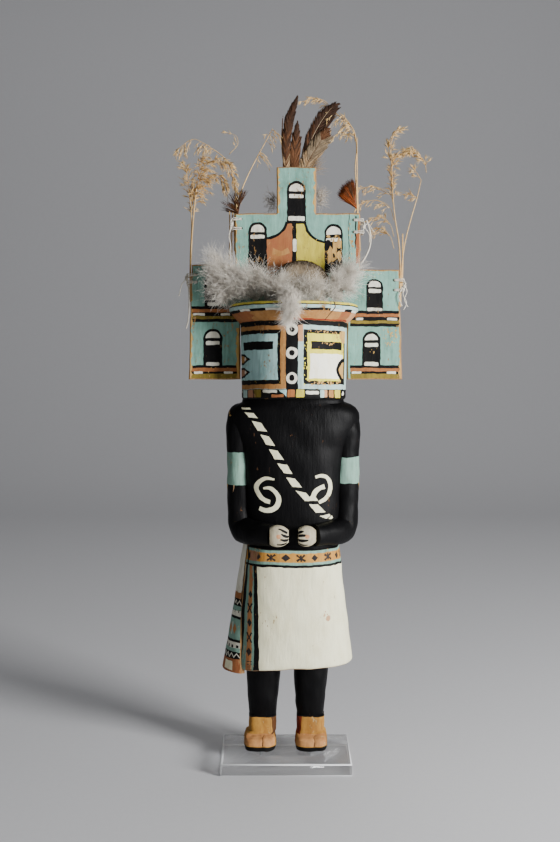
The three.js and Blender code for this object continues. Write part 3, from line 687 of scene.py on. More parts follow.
@dataclass
class Chart:
    """A flat sheet of paint, in millimetres, that is wrapped onto a carved form."""

    border: Outline
    ground: Paint
    step: float = 2.0
    wobble: float = 0.14
    round: float = 0.0
    seed: int = 1
    patches: list[Patch] = field(default_factory=list)
    holes: list[tuple[float, float, float]] = field(default_factory=list)

    def paint(self, paint: Paint, *outlines: Outline, place: Optional[Place] = None,
              spacing: float = 1.0) -> None:
        """Lays paint over what is there already.

        Args:
            paint: Which paint.
            outlines: Closed outlines to fill.
            place: Turns the outlines' own coordinates into the chart's.
            spacing: Longest step between points on an edge.
        """
        for outline in outlines:
            points = resample(outline, spacing)
            self.patches.append(Patch(place(points) if place else points, paint))

    def flakes(self, paint: Paint, x: float, z: float, width: float, height: float, count: int,
               size: float, place: Optional[Place] = None) -> None:
        """Scatters small ragged spots where paint has come off.

        Args:
            paint: What shows in the spots.
            x: Middle of the area.
            z: Its middle level.
            width: Spread across.
            height: Spread up.
            count: Number of spots.
            size: Usual size of a spot.
            place: As for paint.
        """
        rng = np.random.default_rng(int(abs(x * 31 + z * 17)) + count)
        for _ in range(count):
            cx = x + rng.uniform(-0.5, 0.5) * width
            cz = z + rng.uniform(-0.5, 0.5) * height
            reach = size * rng.uniform(0.35, 1.0)
            corners = int(rng.integers(6, 10))
            turns = np.sort(rng.uniform(0, 2 * math.pi, corners))
            radii = reach * rng.uniform(0.45, 1.0, corners)
            spot = [(cx + r * math.cos(a) * 0.75, cz + r * math.sin(a)) for a, r in zip(turns, radii)]
            self.paint(paint, spot, place=place)

    def _unsteady(self, outline: Array) -> Array:
        """Moves an outline's points a little, as a brush does, and keeps it on a round chart."""
        if self.round:
            low, high = np.min(self.border, axis=0), np.max(self.border, axis=0)
            outline = np.column_stack((np.clip(outline[:, 0], low[0], high[0]),
                                       np.clip(outline[:, 1], low[1], high[1])))
            turn = outline[:, 0] / self.round
            spots = np.column_stack((self.round * np.cos(turn), self.round * np.sin(turn), outline[:, 1]))
            room = np.minimum(outline - low, high - outline)
            hold = np.clip(room / 1.5, 0, 1)
        else:
            spots = outline
            hold = np.ones_like(outline)
        push = np.column_stack((waviness(spots, 4.5, self.seed), waviness(spots, 5.5, self.seed + 50)))
        return outline + push * hold * self.wobble

    def triangles(self) -> tuple[Array, Array, Array]:
        """Cuts the chart into triangles along every painted edge.

        Returns:
            Flat points, triangles and the paint number of each triangle.
        """
        border = resample(self.border, self.step)
        rings = [border]
        for x, z, radius in self.holes:
            rings.append(np.asarray(ellipse(x, z, radius, radius, 14)))
        cut_rings = list(rings)
        painted = [(self._unsteady(patch.outline), patch.paint) for patch in self.patches]
        rings += [outline for outline, _ in painted]
        low, high = border.min(axis=0), border.max(axis=0)
        counts = np.maximum(1, np.round((high - low) / self.step)).astype(int)
        xs = np.linspace(low[0], high[0], counts[0] + 1)[1:-1]
        zs = np.linspace(low[1], high[1], counts[1] + 1)[1:-1]
        grid = np.array([(x, z) for z in zs for x in xs])
        grid = grid[inside(grid, border)]
        points, edges, start = [grid], [], len(grid)
        for ring in rings:
            count = len(ring)
            edges += [(start + i, start + (i + 1) % count) for i in range(count)]
            points.append(ring)
            start += count
        flat = [Vector(p) for p in np.vstack(points)]
        cut = delaunay_2d_cdt(flat, edges, [], 0, 1e-4, False)
        places = np.array([tuple(p) for p in cut[0]])
        faces = np.array([f for f in cut[2] if len(f) == 3])
        middles = places[faces].mean(axis=1)
        keep = inside(middles, cut_rings[0])
        for hole in cut_rings[1:]:
            keep &= ~inside(middles, hole)
        faces, middles = faces[keep], middles[keep]
        colours = np.full(len(faces), PAINT_NUMBER[self.ground])
        for outline, paint in painted:
            colours[inside(middles, outline)] = PAINT_NUMBER[paint]
        used, faces = np.unique(faces, return_inverse=True)
        return places[used], faces.reshape(-1, 3), colours


def ring_chart(radius: float, low: float, high: float, ground: Paint, step: float = 2.0,
               seed: int = 1) -> Chart:
    """A chart that goes once round a form: across by angle times radius, with the front at 0."""
    half = math.pi * radius
    return Chart(level_box(-half, half, low, high), ground, step, round=radius, seed=seed)


def wrap(chart: Chart, surface: Place, low_cap: Paint, high_cap: Paint) -> Shell:
    """Wraps a ring chart onto a round form, sews its back seam and closes both ends.

    Args:
        chart: The chart, made by ring_chart.
        surface: Turns the chart's flat points into places in space.
        low_cap: Paint of the lower end.
        high_cap: Paint of the upper end.

    Returns:
        The closed skin.
    """
    flat, faces, colours = chart.triangles()
    (left, low), (right, high) = np.min(chart.border, axis=0), np.max(chart.border, axis=0)
    at_left = np.flatnonzero(np.abs(flat[:, 0] - left) < 1e-3)
    at_right = np.flatnonzero(np.abs(flat[:, 0] - right) < 1e-3)
    at_left = at_left[np.argsort(flat[at_left, 1])]
    at_right = at_right[np.argsort(flat[at_right, 1])]
    if len(at_left) != len(at_right):
        log.warning("the seam has %d points on one side and %d on the other", len(at_left), len(at_right))
    same = dict(zip(at_right.tolist(), at_left.tolist()))
    number = np.array([same.get(i, i) for i in range(len(flat))])
    points = surface(flat)
    faces = number[faces]
    caps = []
    for level, paint, upward in ((low, low_cap, False), (high, high_cap, True)):
        loop = np.flatnonzero((np.abs(flat[:, 1] - level) < 1e-3) & (number == np.arange(len(flat))))
        loop = loop[np.argsort(flat[loop, 0])]
        centre = len(points)
        points = np.vstack((points, points[loop].mean(axis=0)))
        following = np.roll(loop, -1)
        ends = (loop, following) if upward else (following, loop)
        caps.append(np.column_stack((np.full(len(loop), centre), *ends)))
        colours = np.concatenate((colours, np.full(len(loop), PAINT_NUMBER[paint])))
    return Shell(points, np.vstack((faces, *caps)), colours)


@dataclass
class Oval:
    """A form with squared-off oval sections, one above another.

    Each level is a row: place on the chart, height, middle x, middle y, half width, half depth.
    """

    levels: list[tuple[float, ...]]
    roundness: float
    radius: float
    smooth: bool = True

    def at(self, place: Array) -> Array:
        """Reads height, middle and half sizes at places on the chart."""
        rows = np.array(self.levels, float)
        place = np.clip(place, rows[0, 0], rows[-1, 0])
        if self.smooth:
            return smooth_rows(place, rows[:, 0], rows[:, 1:])
        return np.column_stack([np.interp(place, rows[:, 0], column) for column in rows[:, 1:].T])

    def surface(self, flat: Array) -> Array:
        """Turns chart points into places in space."""
        z, x, y, half_width, half_depth = self.at(flat[:, 1]).T
        angle = flat[:, 0] / self.radius
        side, front = np.sin(angle), np.cos(angle)
        reach = squared_reach(side, front, self.roundness)
        return np.column_stack((x + half_width * side * reach, y - half_depth * front * reach, z))

    def facing(self, seen: Array) -> Array:
        """Turns points seen from the front, as x and chart height, into chart points.

        Args:
            seen: Sideways place and place on the chart.

        Returns:
            The same points on the chart.
        """
        _, x, _, half_width, _ = self.at(seen[:, 1]).T
        share = np.clip((seen[:, 0] - x) / half_width, -0.9999, 0.9999)
        n = self.roundness
        slope = (np.abs(share) ** n / (1 - np.abs(share) ** n)) ** (1 / n)
        return np.column_stack((np.sign(share) * np.arctan(slope) * self.radius, seen[:, 1]))


# The carved figure

@dataclass
class Feet:
    """Moccasins: a block with a sloping toe on a thin black sole, with the ankle cuff above."""

    x: float
    inner: int
    seed: int
    toe_y: float = FIGURE_Y - 15.12
    length: float = 28.0
    width: float = 21.8
    cuff: float = 18.4
    cuff_shift: float = 0.4
    sole: float = 2.8
    toe: float = 8.4
    height: float = 20.8

    def _form(self) -> Oval:
        """Works out the foot's sections from the sole up."""
        levels = (
            (0, 0.4, 0.2, self.width - 1.0), (self.sole, 0, 0, self.width),
            (self.sole + 0.35, 0.8, 0.5, self.width - 0.7), (self.toe - 1.8, 1.2, 0.6, self.width - 0.4),
            (self.toe - 0.5, 2.6, 0.8, self.width - 1.0), (self.toe + 0.8, 8.2, 1.3, self.width - 2.0),
            (self.toe + 2.2, 9.4, 2.0, self.cuff), (self.height + 0.2, 9.8, 2.5, self.cuff + 0.4),
            (self.height + 0.6, 10.5, 3.2, self.cuff - 1.0),
        )
        rows = []
        place = 0.0
        for k, (rise, front, back, width) in enumerate(levels):
            low, high = self.toe_y + front, self.toe_y + self.length - back
            shift = self.inner * self.cuff_shift if rise > self.toe + 1 else 0.0
            if k:
                before = levels[k - 1]
                place += max(0.35, math.hypot(rise - before[0], front - before[1]))
            rows.append((place, SOLE_Z + rise, self.x + shift, (low + high) / 2, width / 2, (high - low) / 2))
        return Oval(rows, 3.4, 11.5, smooth=False)

    def shell(self) -> Shell:
        """Carves and paints one foot."""
        form = self._form()
        top = form.levels[-1][0]
        place = [row[0] for row in form.levels]
        chart = ring_chart(form.radius, 0, top, Paint.OCHRE, 0.8, self.seed)
        half = math.pi * form.radius
        chart.paint(Paint.TOE_TAN, level_box(-form.radius * 0.95, form.radius * 0.95, place[2],
                                             place[5] + 0.3))
        # Each foot gets dark strips on its inner side: red paint on the right foot, and on the left foot dark
        # brown as painted shade.
        brown = self.inner * form.radius
        chart.paint(Paint.MOCCASIN_RED if self.inner < 0 else Paint.MOCCASIN_BROWN,
                    stroke([(brown * 1.25, place[5] + 0.4), (brown * 1.05, top)], (12.0, 11.0)),
                    stroke([(brown * 1.45, place[1] + 0.4), (brown * 1.45, place[6])], (7.0, 8.5)))
        chart.paint(Paint.BLACK, level_box(-half, half, 0, place[1] + 0.15))
        chart.paint(Paint.BLACK, level_box(-half, half, place[7] - 0.5, top))
        seam = 1.7 * self.inner if self.inner < 0 else -1.6
        line = [(-seam, place[2] - 0.2), (-seam + 0.5, place[3]), (-seam + 0.2, place[4] + 1.2),
                (-seam + 1.6, place[5] - 1.2)]
        chart.paint(Paint.MOCCASIN_BROWN, stroke(line, (0.55, 0.45, 0.3)))

        def cut(flat: Array) -> Array:
            """The foot's surface with the seam cut into it."""
            points = form.surface(flat)
            path = spline(line, 24)
            away = np.linalg.norm(flat[:, None, :] - path[None, :, :], axis=2).min(axis=1)
            points[:, 1] += 0.5 * np.exp(-((away / 0.45) ** 2))
            return points

        return wrap(chart, cut, Paint.BLACK, Paint.BLACK).carved(0.16, 9, self.seed)


@dataclass
class Legs:
    """A black leg, wider towards the kilt."""

    foot_x: float
    top_x: float
    seed: int
    ankle: float = 17.8
    ankle_depth: float = 14.8
    top_width: float = 24.6
    top_depth: float = 26.0

    def shell(self) -> Shell:
        """Carves and paints one leg."""
        low, high = SOLE_Z + 19.8, HEM_Z + 6
        rows = []
        for t in np.linspace(0, 1, 7):
            z = low + (high - low) * t
            swell = 0.6 * math.sin(t * math.pi)
            rows.append((z, z, self.foot_x + (self.top_x - self.foot_x) * t, FIGURE_Y + 2.6 - 1.6 * t,
                         (self.ankle + (self.top_width - self.ankle) * t + swell) / 2,
                         (self.ankle_depth + (self.top_depth - self.ankle_depth) * t**0.6) / 2))
        form = Oval(rows, 2.3, 11.0)
        chart = ring_chart(form.radius, low, high, Paint.BODY_BLACK, 1.6, self.seed)
        return wrap(chart, form.surface, Paint.BODY_BLACK, Paint.BODY_BLACK).carved(0.18, 14, self.seed)


@dataclass
class Kilt:
    """The white kilt with its patterned belt and the upright border of its open edge."""

    top_width: float = 61.0
    waist_width: float = 64.4
    hem_width: float = 80.6
    waist_depth: float = 44.0
    hem_depth: float = 58.0
    roundness: float = 2.35
    radius: float = 33.0
    hem_drop: float = 0.11
    motif_pitch: float = 10.1

    def half_sizes(self, z: float) -> tuple[float, float]:
        """Half width and half depth at a height."""
        t = min(max((BELT_BOTTOM_Z - z) / (BELT_BOTTOM_Z - HEM_Z), -1), 1.2)
        if t < 0:
            s = (z - BELT_BOTTOM_Z) / BELT_WIDTH
            return ((self.waist_width + (self.top_width - self.waist_width) * s) / 2,
                    (self.waist_depth + 2.6 * (1 - s)) / 2)
        flare = t**1.12
        return ((self.waist_width + (self.hem_width - self.waist_width) * flare) / 2,
                (self.waist_depth + 2.6 + (self.hem_depth - self.waist_depth - 2.6) * flare) / 2)

    def form(self) -> Oval:
        """The kilt's sections, without the fall of its hem."""
        heights = [HEM_Z, HEM_Z + 0.9, *np.linspace(HEM_Z + 4, BELT_BOTTOM_Z - 1.2, 9), BELT_BOTTOM_Z,
                   BELT_BOTTOM_Z + BELT_WIDTH / 2, BELT_TOP_Z]
        rows = []
        for z in heights:
            half_width, half_depth = self.half_sizes(z)
            tuck = 1.4 if z == HEM_Z else 0.0
            rows.append((z, z, BODY_X, FIGURE_Y, half_width - tuck, half_depth - tuck))
        return Oval(rows, self.roundness, self.radius, smooth=False)

    def _belt(self, chart: Chart, form: Oval) -> None:
        """Paints the belt's bands, and diamonds and crosses by turns on the middle one."""
        half = math.pi * self.radius
        z = BELT_BOTTOM_Z
        chart.paint(Paint.BLACK, level_box(-half, half, z - 0.5, z + 1.2))
        chart.paint(Paint.ARMBAND, level_box(-half, half, z + 1.2, z + 2.9))
        chart.paint(Paint.BELT_TAN, level_box(-half, half, z + 2.9, z + 8.9))
        chart.paint(Paint.ARMBAND, level_box(-half, half, z + 8.9, z + 10.6))
        chart.paint(Paint.MOTIF, level_box(-half, half, z + 10.6, BELT_TOP_Z))
        middle = form.facing(np.array([[-0.15, z + 5.9]]))[0, 0]
        count = int(half * 2 / self.motif_pitch)
        for i in range(-(count // 2) + 1, count // 2):
            x = middle + i * self.motif_pitch
            if abs(x) > half - 5:
                continue
            if i % 2 == 0:
                size = 3.3 if i == 0 else 2.5
                chart.paint(Paint.MOTIF, diamond(x, z + 5.9, size, 2.4), spacing=0.6)
            else:
                for turn in (-32, 32, 90):
                    reach = 3.5 if turn != 90 else 2.0
                    dx, dz = reach * math.cos(math.radians(turn)), reach * math.sin(math.radians(turn)) * 1.05
                    chart.paint(Paint.MOTIF, stroke([(x - dx, z + 5.9 - dz), (x + dx, z + 5.9 + dz)],
                                                    (1.5, 1.0, 1.5), 8), spacing=0.6)
        chart.paint(Paint.DUSTY_PINK, level_box(-23.5, -19.0, z + 2.9, z + 8.9), place=form.facing)

    def _border(self, chart: Chart, form: Oval) -> None:
        """Paints the upright border, which widens towards the hem."""
        low, high = HEM_Z, BELT_BOTTOM_Z
        edges = {
            Paint.BLACK: ((-26.2, -33.0), (-18.8, -17.5)),
            Paint.ARMBAND: ((-24.8, -29.8), (-20.9, -21.4)),
            Paint.BORDER_TAN: ((-23.7, -26.8), (-21.8, -23.1)),
        }
        for paint, ((left_top, left_low), (right_top, right_low)) in edges.items():
            top = high if paint is not Paint.BLACK else high + 0.6
            chart.paint(paint, [(left_low, low), (right_low, low), (right_top, top), (left_top, top)],
                        place=form.facing)
        chart.paint(Paint.BLACK, [(-25.4, high), (-24.4, high), (-24.2, BELT_TOP_Z), (-25.2, BELT_TOP_Z)],
                    place=form.facing)
        levels = np.linspace(HEM_Z + 12.2, HEM_Z + 48.6, 5)
        for i, z in enumerate(levels):
            x = np.interp(z, (low, high), (-24.95, -22.75))
            wide = np.interp(z, (low, high), (1.8, 1.15))
            if i % 2 == 0:
                chart.paint(Paint.MOTIF, diamond(x, z, wide, 2.7), place=form.facing, spacing=0.6)
            else:
                for turn in (-1, 1):
                    chart.paint(Paint.MOTIF, stroke([(x - wide, z - 2.9 * turn), (x + wide, z + 2.9 * turn)],
                                                    (1.0, 0.7, 1.0), 8), place=form.facing, spacing=0.6)
        for z in (HEM_Z + 58, HEM_Z + 63.4):
            chart.paint(Paint.DUSTY_PINK, diamond(-22.1, z, 0.9, 1.9), place=form.facing, spacing=0.6)
        for z in (HEM_Z + 4.3, HEM_Z + 5.9):
            chart.paint(Paint.MOTIF, level_box(-25.8, -22.4, z, z + 0.55), place=form.facing)
        for x in (-25.4, -24.5, -23.7, -22.9):
            chart.paint(Paint.MOTIF, level_box(x, x + 0.38, HEM_Z + 0.4, HEM_Z + 4.0), place=form.facing)

    def shell(self) -> Shell:
        """Carves and paints the kilt."""
        form = self.form()
        chart = ring_chart(self.radius, HEM_Z, BELT_TOP_Z, Paint.CREAM, 1.8, 21)
        self._belt(chart, form)
        self._border(chart, form)
        chart.flakes(Paint.STAIN, 26.5, HEM_Z + 33.5, 3.2, 8.0, 9, 1.5, form.facing)
        chart.paint(Paint.STAIN, ellipse(27.8, HEM_Z + 33.0, 1.3, 1.9, 12), place=form.facing)
        half = math.pi * self.radius
        chart.paint(Paint.STAIN, level_box(-half, half, HEM_Z, HEM_Z + 0.5))

        def fallen(flat: Array) -> Array:
            """The kilt's surface with the fall of its hem."""
            points = form.surface(flat)
            share = (points[:, 2] - HEM_Z) / (BELT_TOP_Z - HEM_Z)
            points[:, 2] += np.minimum(0, points[:, 0] - BODY_X + 3) * self.hem_drop * (1 - share)
            return points

        return wrap(chart, fallen, Paint.CREAM, Paint.BODY_BLACK).carved(0.2, 17, 5)


@dataclass
class Sash:
    """The broad sash that hangs over the kilt's open side and stands off towards its foot."""

    kilt: Kilt
    drop: float = 5.2
    top_stand: float = 3.0
    bottom_stand: float = 6.4
    front_angles: tuple[float, float, float] = (216.0, 199.0, 192.0)
    back_angles: tuple[float, float, float] = (165.0, 158.0, 154.0)
    inset: float = -2.5

    @property
    def low(self) -> float:
        """Height of its foot."""
        return HEM_Z - self.drop

    @property
    def high(self) -> float:
        """Height of its top, just above the belt."""
        return BELT_TOP_Z + 0.6

    def _place(self, share: Array, z: Array, stand: Array) -> Array:
        """Finds places on the sash, from the share of its width and the height."""
        levels = np.linspace(self.low, self.high, 3)
        back, front = (np.interp(z, levels, ends) for ends in (self.back_angles, self.front_angles))
        angle = np.radians(back + (front - back) * share)
        sizes = np.array([self.kilt.half_sizes(float(level)) for level in z])
        half_width, half_depth = sizes[:, 0] + stand, sizes[:, 1] + stand * 0.4
        c, s = np.cos(angle), np.sin(angle)
        power = 2 / self.kilt.roundness
        return np.column_stack((BODY_X + np.sign(c) * half_width * np.abs(c) ** power,
                                FIGURE_Y + np.sign(s) * half_depth * np.abs(s) ** power, z))

    def _stand(self, z: Array) -> Array:
        """How far the sash stands off the kilt at a height."""
        t = (z - self.low) / (self.high - self.low)
        return self.bottom_stand + (self.top_stand - self.bottom_stand) * t

    def _bands(self, chart: Chart, width: float) -> None:
        """Paints the bands from the salmon stripe down to the hem.

        Args:
            chart: The sash laid flat, across from back to front.
            width: Its width on the chart.
        """
        z = self.low
        whole = (-1.0, width + 1.0)
        bands = (
            (47.6, 51.7, Paint.SALMON), (42.7, 47.6, Paint.BLACK), (39.6, 42.7, Paint.ARMBAND),
            (34.4, 36.1, Paint.BLACK), (21.0, 34.4, Paint.ARMBAND), (19.3, 21.0, Paint.BLACK),
            (13.2, 15.8, Paint.ARMBAND), (8.5, 13.2, Paint.BLACK), (-1.0, 8.5, Paint.SALMON),
        )
        for low, high, paint in bands:
            chart.paint(paint, level_box(*whole, z + low, z + high))
        chart.paint(Paint.WHITE, zigzag(0, width, z + 45.1, 2.6, 7, 1.0),
                    zigzag(0, width, z + 10.8, 2.6, 7, 1.0))
        for i in range(7):
            x = width * (i + 0.5) / 7
            chart.paint(Paint.BLACK, level_box(x - 0.5, x + 0.3, z + 38.4, z + 40.2), spacing=0.8)
            chart.paint(Paint.BLACK, level_box(x - 0.9, x + 0.9, z + 15.9, z + 17.6), spacing=0.8)
        for share in (0.14, 0.34, 0.6, 0.82):
            chart.paint(Paint.BORDER_TAN, diamond(width * share, z + 27.8, 2.1, 3.6), spacing=0.8)
        for share in (0.24, 0.71):
            chart.paint(Paint.WHITE, stroke([(width * share, z + 24), (width * share, z + 32)], (0.9, 0.9),
                                            6))
        for share in (0.2, 0.68):
            chart.paint(Paint.CREAM, level_box(width * share - 4.4, width * share + 4.4, z + 1.4, z + 6.9))
        chart.paint(Paint.BLACK, level_box(width - 0.6, width + 1, z + 45, self.high + 1))

    def shell(self) -> Shell:
        """Carves and paints the sash as a closed slab."""
        width = 30.0
        chart = Chart(level_box(0, width, self.low, self.high), Paint.WHITE, 1.6, seed=31)
        self._bands(chart, width)

        def outer(flat: Array) -> Array:
            """The sash's outer face, which tapers to its front edge."""
            share = np.clip(flat[:, 0] / width, 0, 1)
            return self._place(share, flat[:, 1], self._stand(flat[:, 1]) * (1 - 0.9 * share**4))

        def inner(flat: Array) -> Array:
            """The sash's back, inside the kilt."""
            return self._place(flat[:, 0] / width, flat[:, 1], np.full(len(flat), self.inset))

        return slab(chart, (outer, inner), (Paint.BARE_WOOD, Paint.WHITE)).carved(0.15, 12, 8)


def slab(chart: Chart, layers: Sequence[Place], paints: tuple[Paint, Paint]) -> Shell:
    """Makes a closed slab from a chart: its painted face, its edge and a plain back.

    Args:
        chart: The painted face.
        layers: The face's surface, any rings between, and the back's surface.
        paints: Paint of the edge and of the back.

    Returns:
        The closed skin.
    """
    flat, faces, colours = chart.triangles()
    count = len(flat)
    sides = np.vstack((faces[:, [0, 1]], faces[:, [1, 2]], faces[:, [2, 0]]))
    keys = sides[:, 0].astype(np.int64) * count + sides[:, 1]
    other = sides[:, 1].astype(np.int64) * count + sides[:, 0]
    rim = sides[~np.isin(keys, other)]
    points = [layers[0](flat)]
    skins, skin_paints = [faces], [colours]
    ring_numbers = np.unique(rim)
    position = {int(v): k for k, v in enumerate(ring_numbers)}
    rows = np.array([[position[int(a)], position[int(b)]] for a, b in rim])
    before = ring_numbers
    total = count
    for layer in layers[1:-1]:
        points.append(layer(flat)[ring_numbers])
        here = np.arange(len(ring_numbers)) + total
        total += len(ring_numbers)
        skins.append(_wall(before, here, rows))
        before = here
    points.append(layers[-1](flat))
    skins.append(_wall(before, ring_numbers + total, rows))
    edge_faces = sum(len(s) for s in skins[1:])
    skin_paints.append(np.full(edge_faces, PAINT_NUMBER[paints[0]]))
    skins.append(faces[:, ::-1] + total)
    skin_paints.append(np.full(len(faces), PAINT_NUMBER[paints[1]]))
    return Shell(np.vstack(points), np.vstack(skins), np.concatenate(skin_paints))


def _wall(low: Array, high: Array, rows: Array) -> Array:
    """Joins two equal rings of points by triangles, along the given edges."""
    a, b = low[rows[:, 0]], low[rows[:, 1]]
    c, d = high[rows[:, 0]], high[rows[:, 1]]
    return np.vstack((np.column_stack((b, a, c)), np.column_stack((b, c, d))))


@dataclass
class Torso:
    """The black body, with a dashed white strap and two pairs of crescents on the chest."""

    chest_width: float = 67.0
    chest_depth: float = 41.0
    neck_width: float = 68.0
    waist_width: float = 61.0
    roundness: float = 2.5
    radius: float = 28.0
    dash_pitch: float = 9.05

    def _form(self) -> Oval:
        """The torso's sections from the belt to the mask."""
        middle = BELT_TOP_Z + 48.45
        wide, deep = self.chest_width, self.chest_depth
        rows = (
            (BELT_TOP_Z - 3, self.waist_width - 3, deep - 3),
            (BELT_TOP_Z + 14, self.waist_width + 2, deep - 2),
            (middle - 12, wide - 2, deep - 1), (middle + 8, wide, deep), (MASK_Z - 36, wide + 1, deep),
            (MASK_Z - 30, wide + 4, deep - 1), (MASK_Z - 24, wide + 10, deep - 1.5),
            (MASK_Z - 18, wide + 16, deep - 2),
            (MASK_Z - 13, wide + 19, deep - 3), (MASK_Z - 9, wide + 18.5, deep - 4),
            (MASK_Z - 5.5, wide + 15, deep - 5.5),
            (MASK_Z - 3, wide + 8, deep - 7.5), (MASK_Z - 1.6, self.neck_width, deep - 8.5),
            (MASK_Z + 2, self.neck_width - 2, deep - 9),
        )
        levels = [(z, z, BODY_X + 0.05 * max(0, w - wide), FIGURE_Y, w / 2, d / 2) for z, w, d in rows]
        return Oval(levels, self.roundness, self.radius, smooth=False)

    def _marks(self, chart: Chart, form: Oval) -> None:
        """Paints the dashes and crescents in cream."""
        line_z = (167.6, 175.2, 184.6, 193.9, 229.7, 238.0)
        line_x = (22.0, 15.1, 6.1, -0.1, -22.3, -29.4)

        def dash(z: float, height: float, slope: float = 1.0) -> Outline:
            """One dash of the strap."""
            x, low_x = np.interp(z, line_z, line_x), np.interp(z - height, line_z, line_x)
            return [(x, z), (x + 5.9, z - slope), (low_x + 5.9, z - height - slope * 0.6),
                    (low_x, z - height)]

        chart.paint(Paint.CREAM, dash(238.2, 1.1, 0.2), place=form.facing)
        chart.paint(Paint.CREAM, dash(235.2, 3.3, 0.5), place=form.facing)
        for k in range(5):
            chart.paint(Paint.CREAM, dash(229.7 - self.dash_pitch * k, 6.3), place=form.facing)
        joined = [(6.1, 184.6), (12.8, 183.2), (15.5, 180.2), (17.5, 183.0), (21.0, 177.6), (12.3, 177.6)]
        dash_9 = [(15.1, 175.2), (20.9, 175.2), (25.8, 170.2), (19.7, 169.6)]
        dash_10 = [(22.0, 167.6), (28.4, 168.8), (29.2, 167.3), (26.3, 165.7)]
        tip = [(30.1, 167.6), (31.1, 166.1), (30.1, 165.2), (28.1, 165.5)]
        for outline in (joined, dash_9, dash_10, tip):
            chart.paint(Paint.CREAM, outline, place=form.facing)
        crescents = (
            ([(-8.0, 192.1), (-14.1, 192.2), (-17.8, 189.5), (-19.3, 186.0), (-17.8, 181.4), (-14.6, 178.1),
              (-10.4, 177.0)], (1.0, 2.6, 3.0, 2.8, 2.4)),
            ([(-14.8, 185.8), (-11.2, 186.2), (-7.1, 184.0), (-4.7, 179.6), (-5.7, 174.9), (-8.9, 172.0),
              (-13.5, 171.1), (-17.2, 172.3)], (1.4, 2.6, 3.0, 3.4, 3.2, 2.8)),
            ([(19.1, 193.1), (22.3, 194.1), (25.8, 193.6), (28.6, 189.5), (28.9, 184.3), (26.9, 179.6),
              (21.7, 176.4)], (1.8, 2.6, 2.6, 2.5, 2.2)),
            ([(25.2, 186.9), (22.3, 186.0), (18.8, 183.1), (17.4, 179.0)], (3.0, 3.2, 3.2, 3.4)),
        )
        for line, widths in crescents:
            chart.paint(Paint.CREAM, stroke(line, widths), place=form.facing)

    def shell(self) -> Shell:
        """Carves and paints the torso."""
        form = self._form()
        chart = ring_chart(self.radius, BELT_TOP_Z - 3, MASK_Z + 2, Paint.BODY_BLACK, 1.8, 41)
        chart.wobble = 0.1
        self._marks(chart, form)
        return wrap(chart, form.surface, Paint.BODY_BLACK, Paint.BODY_BLACK).carved(0.2, 20, 9)


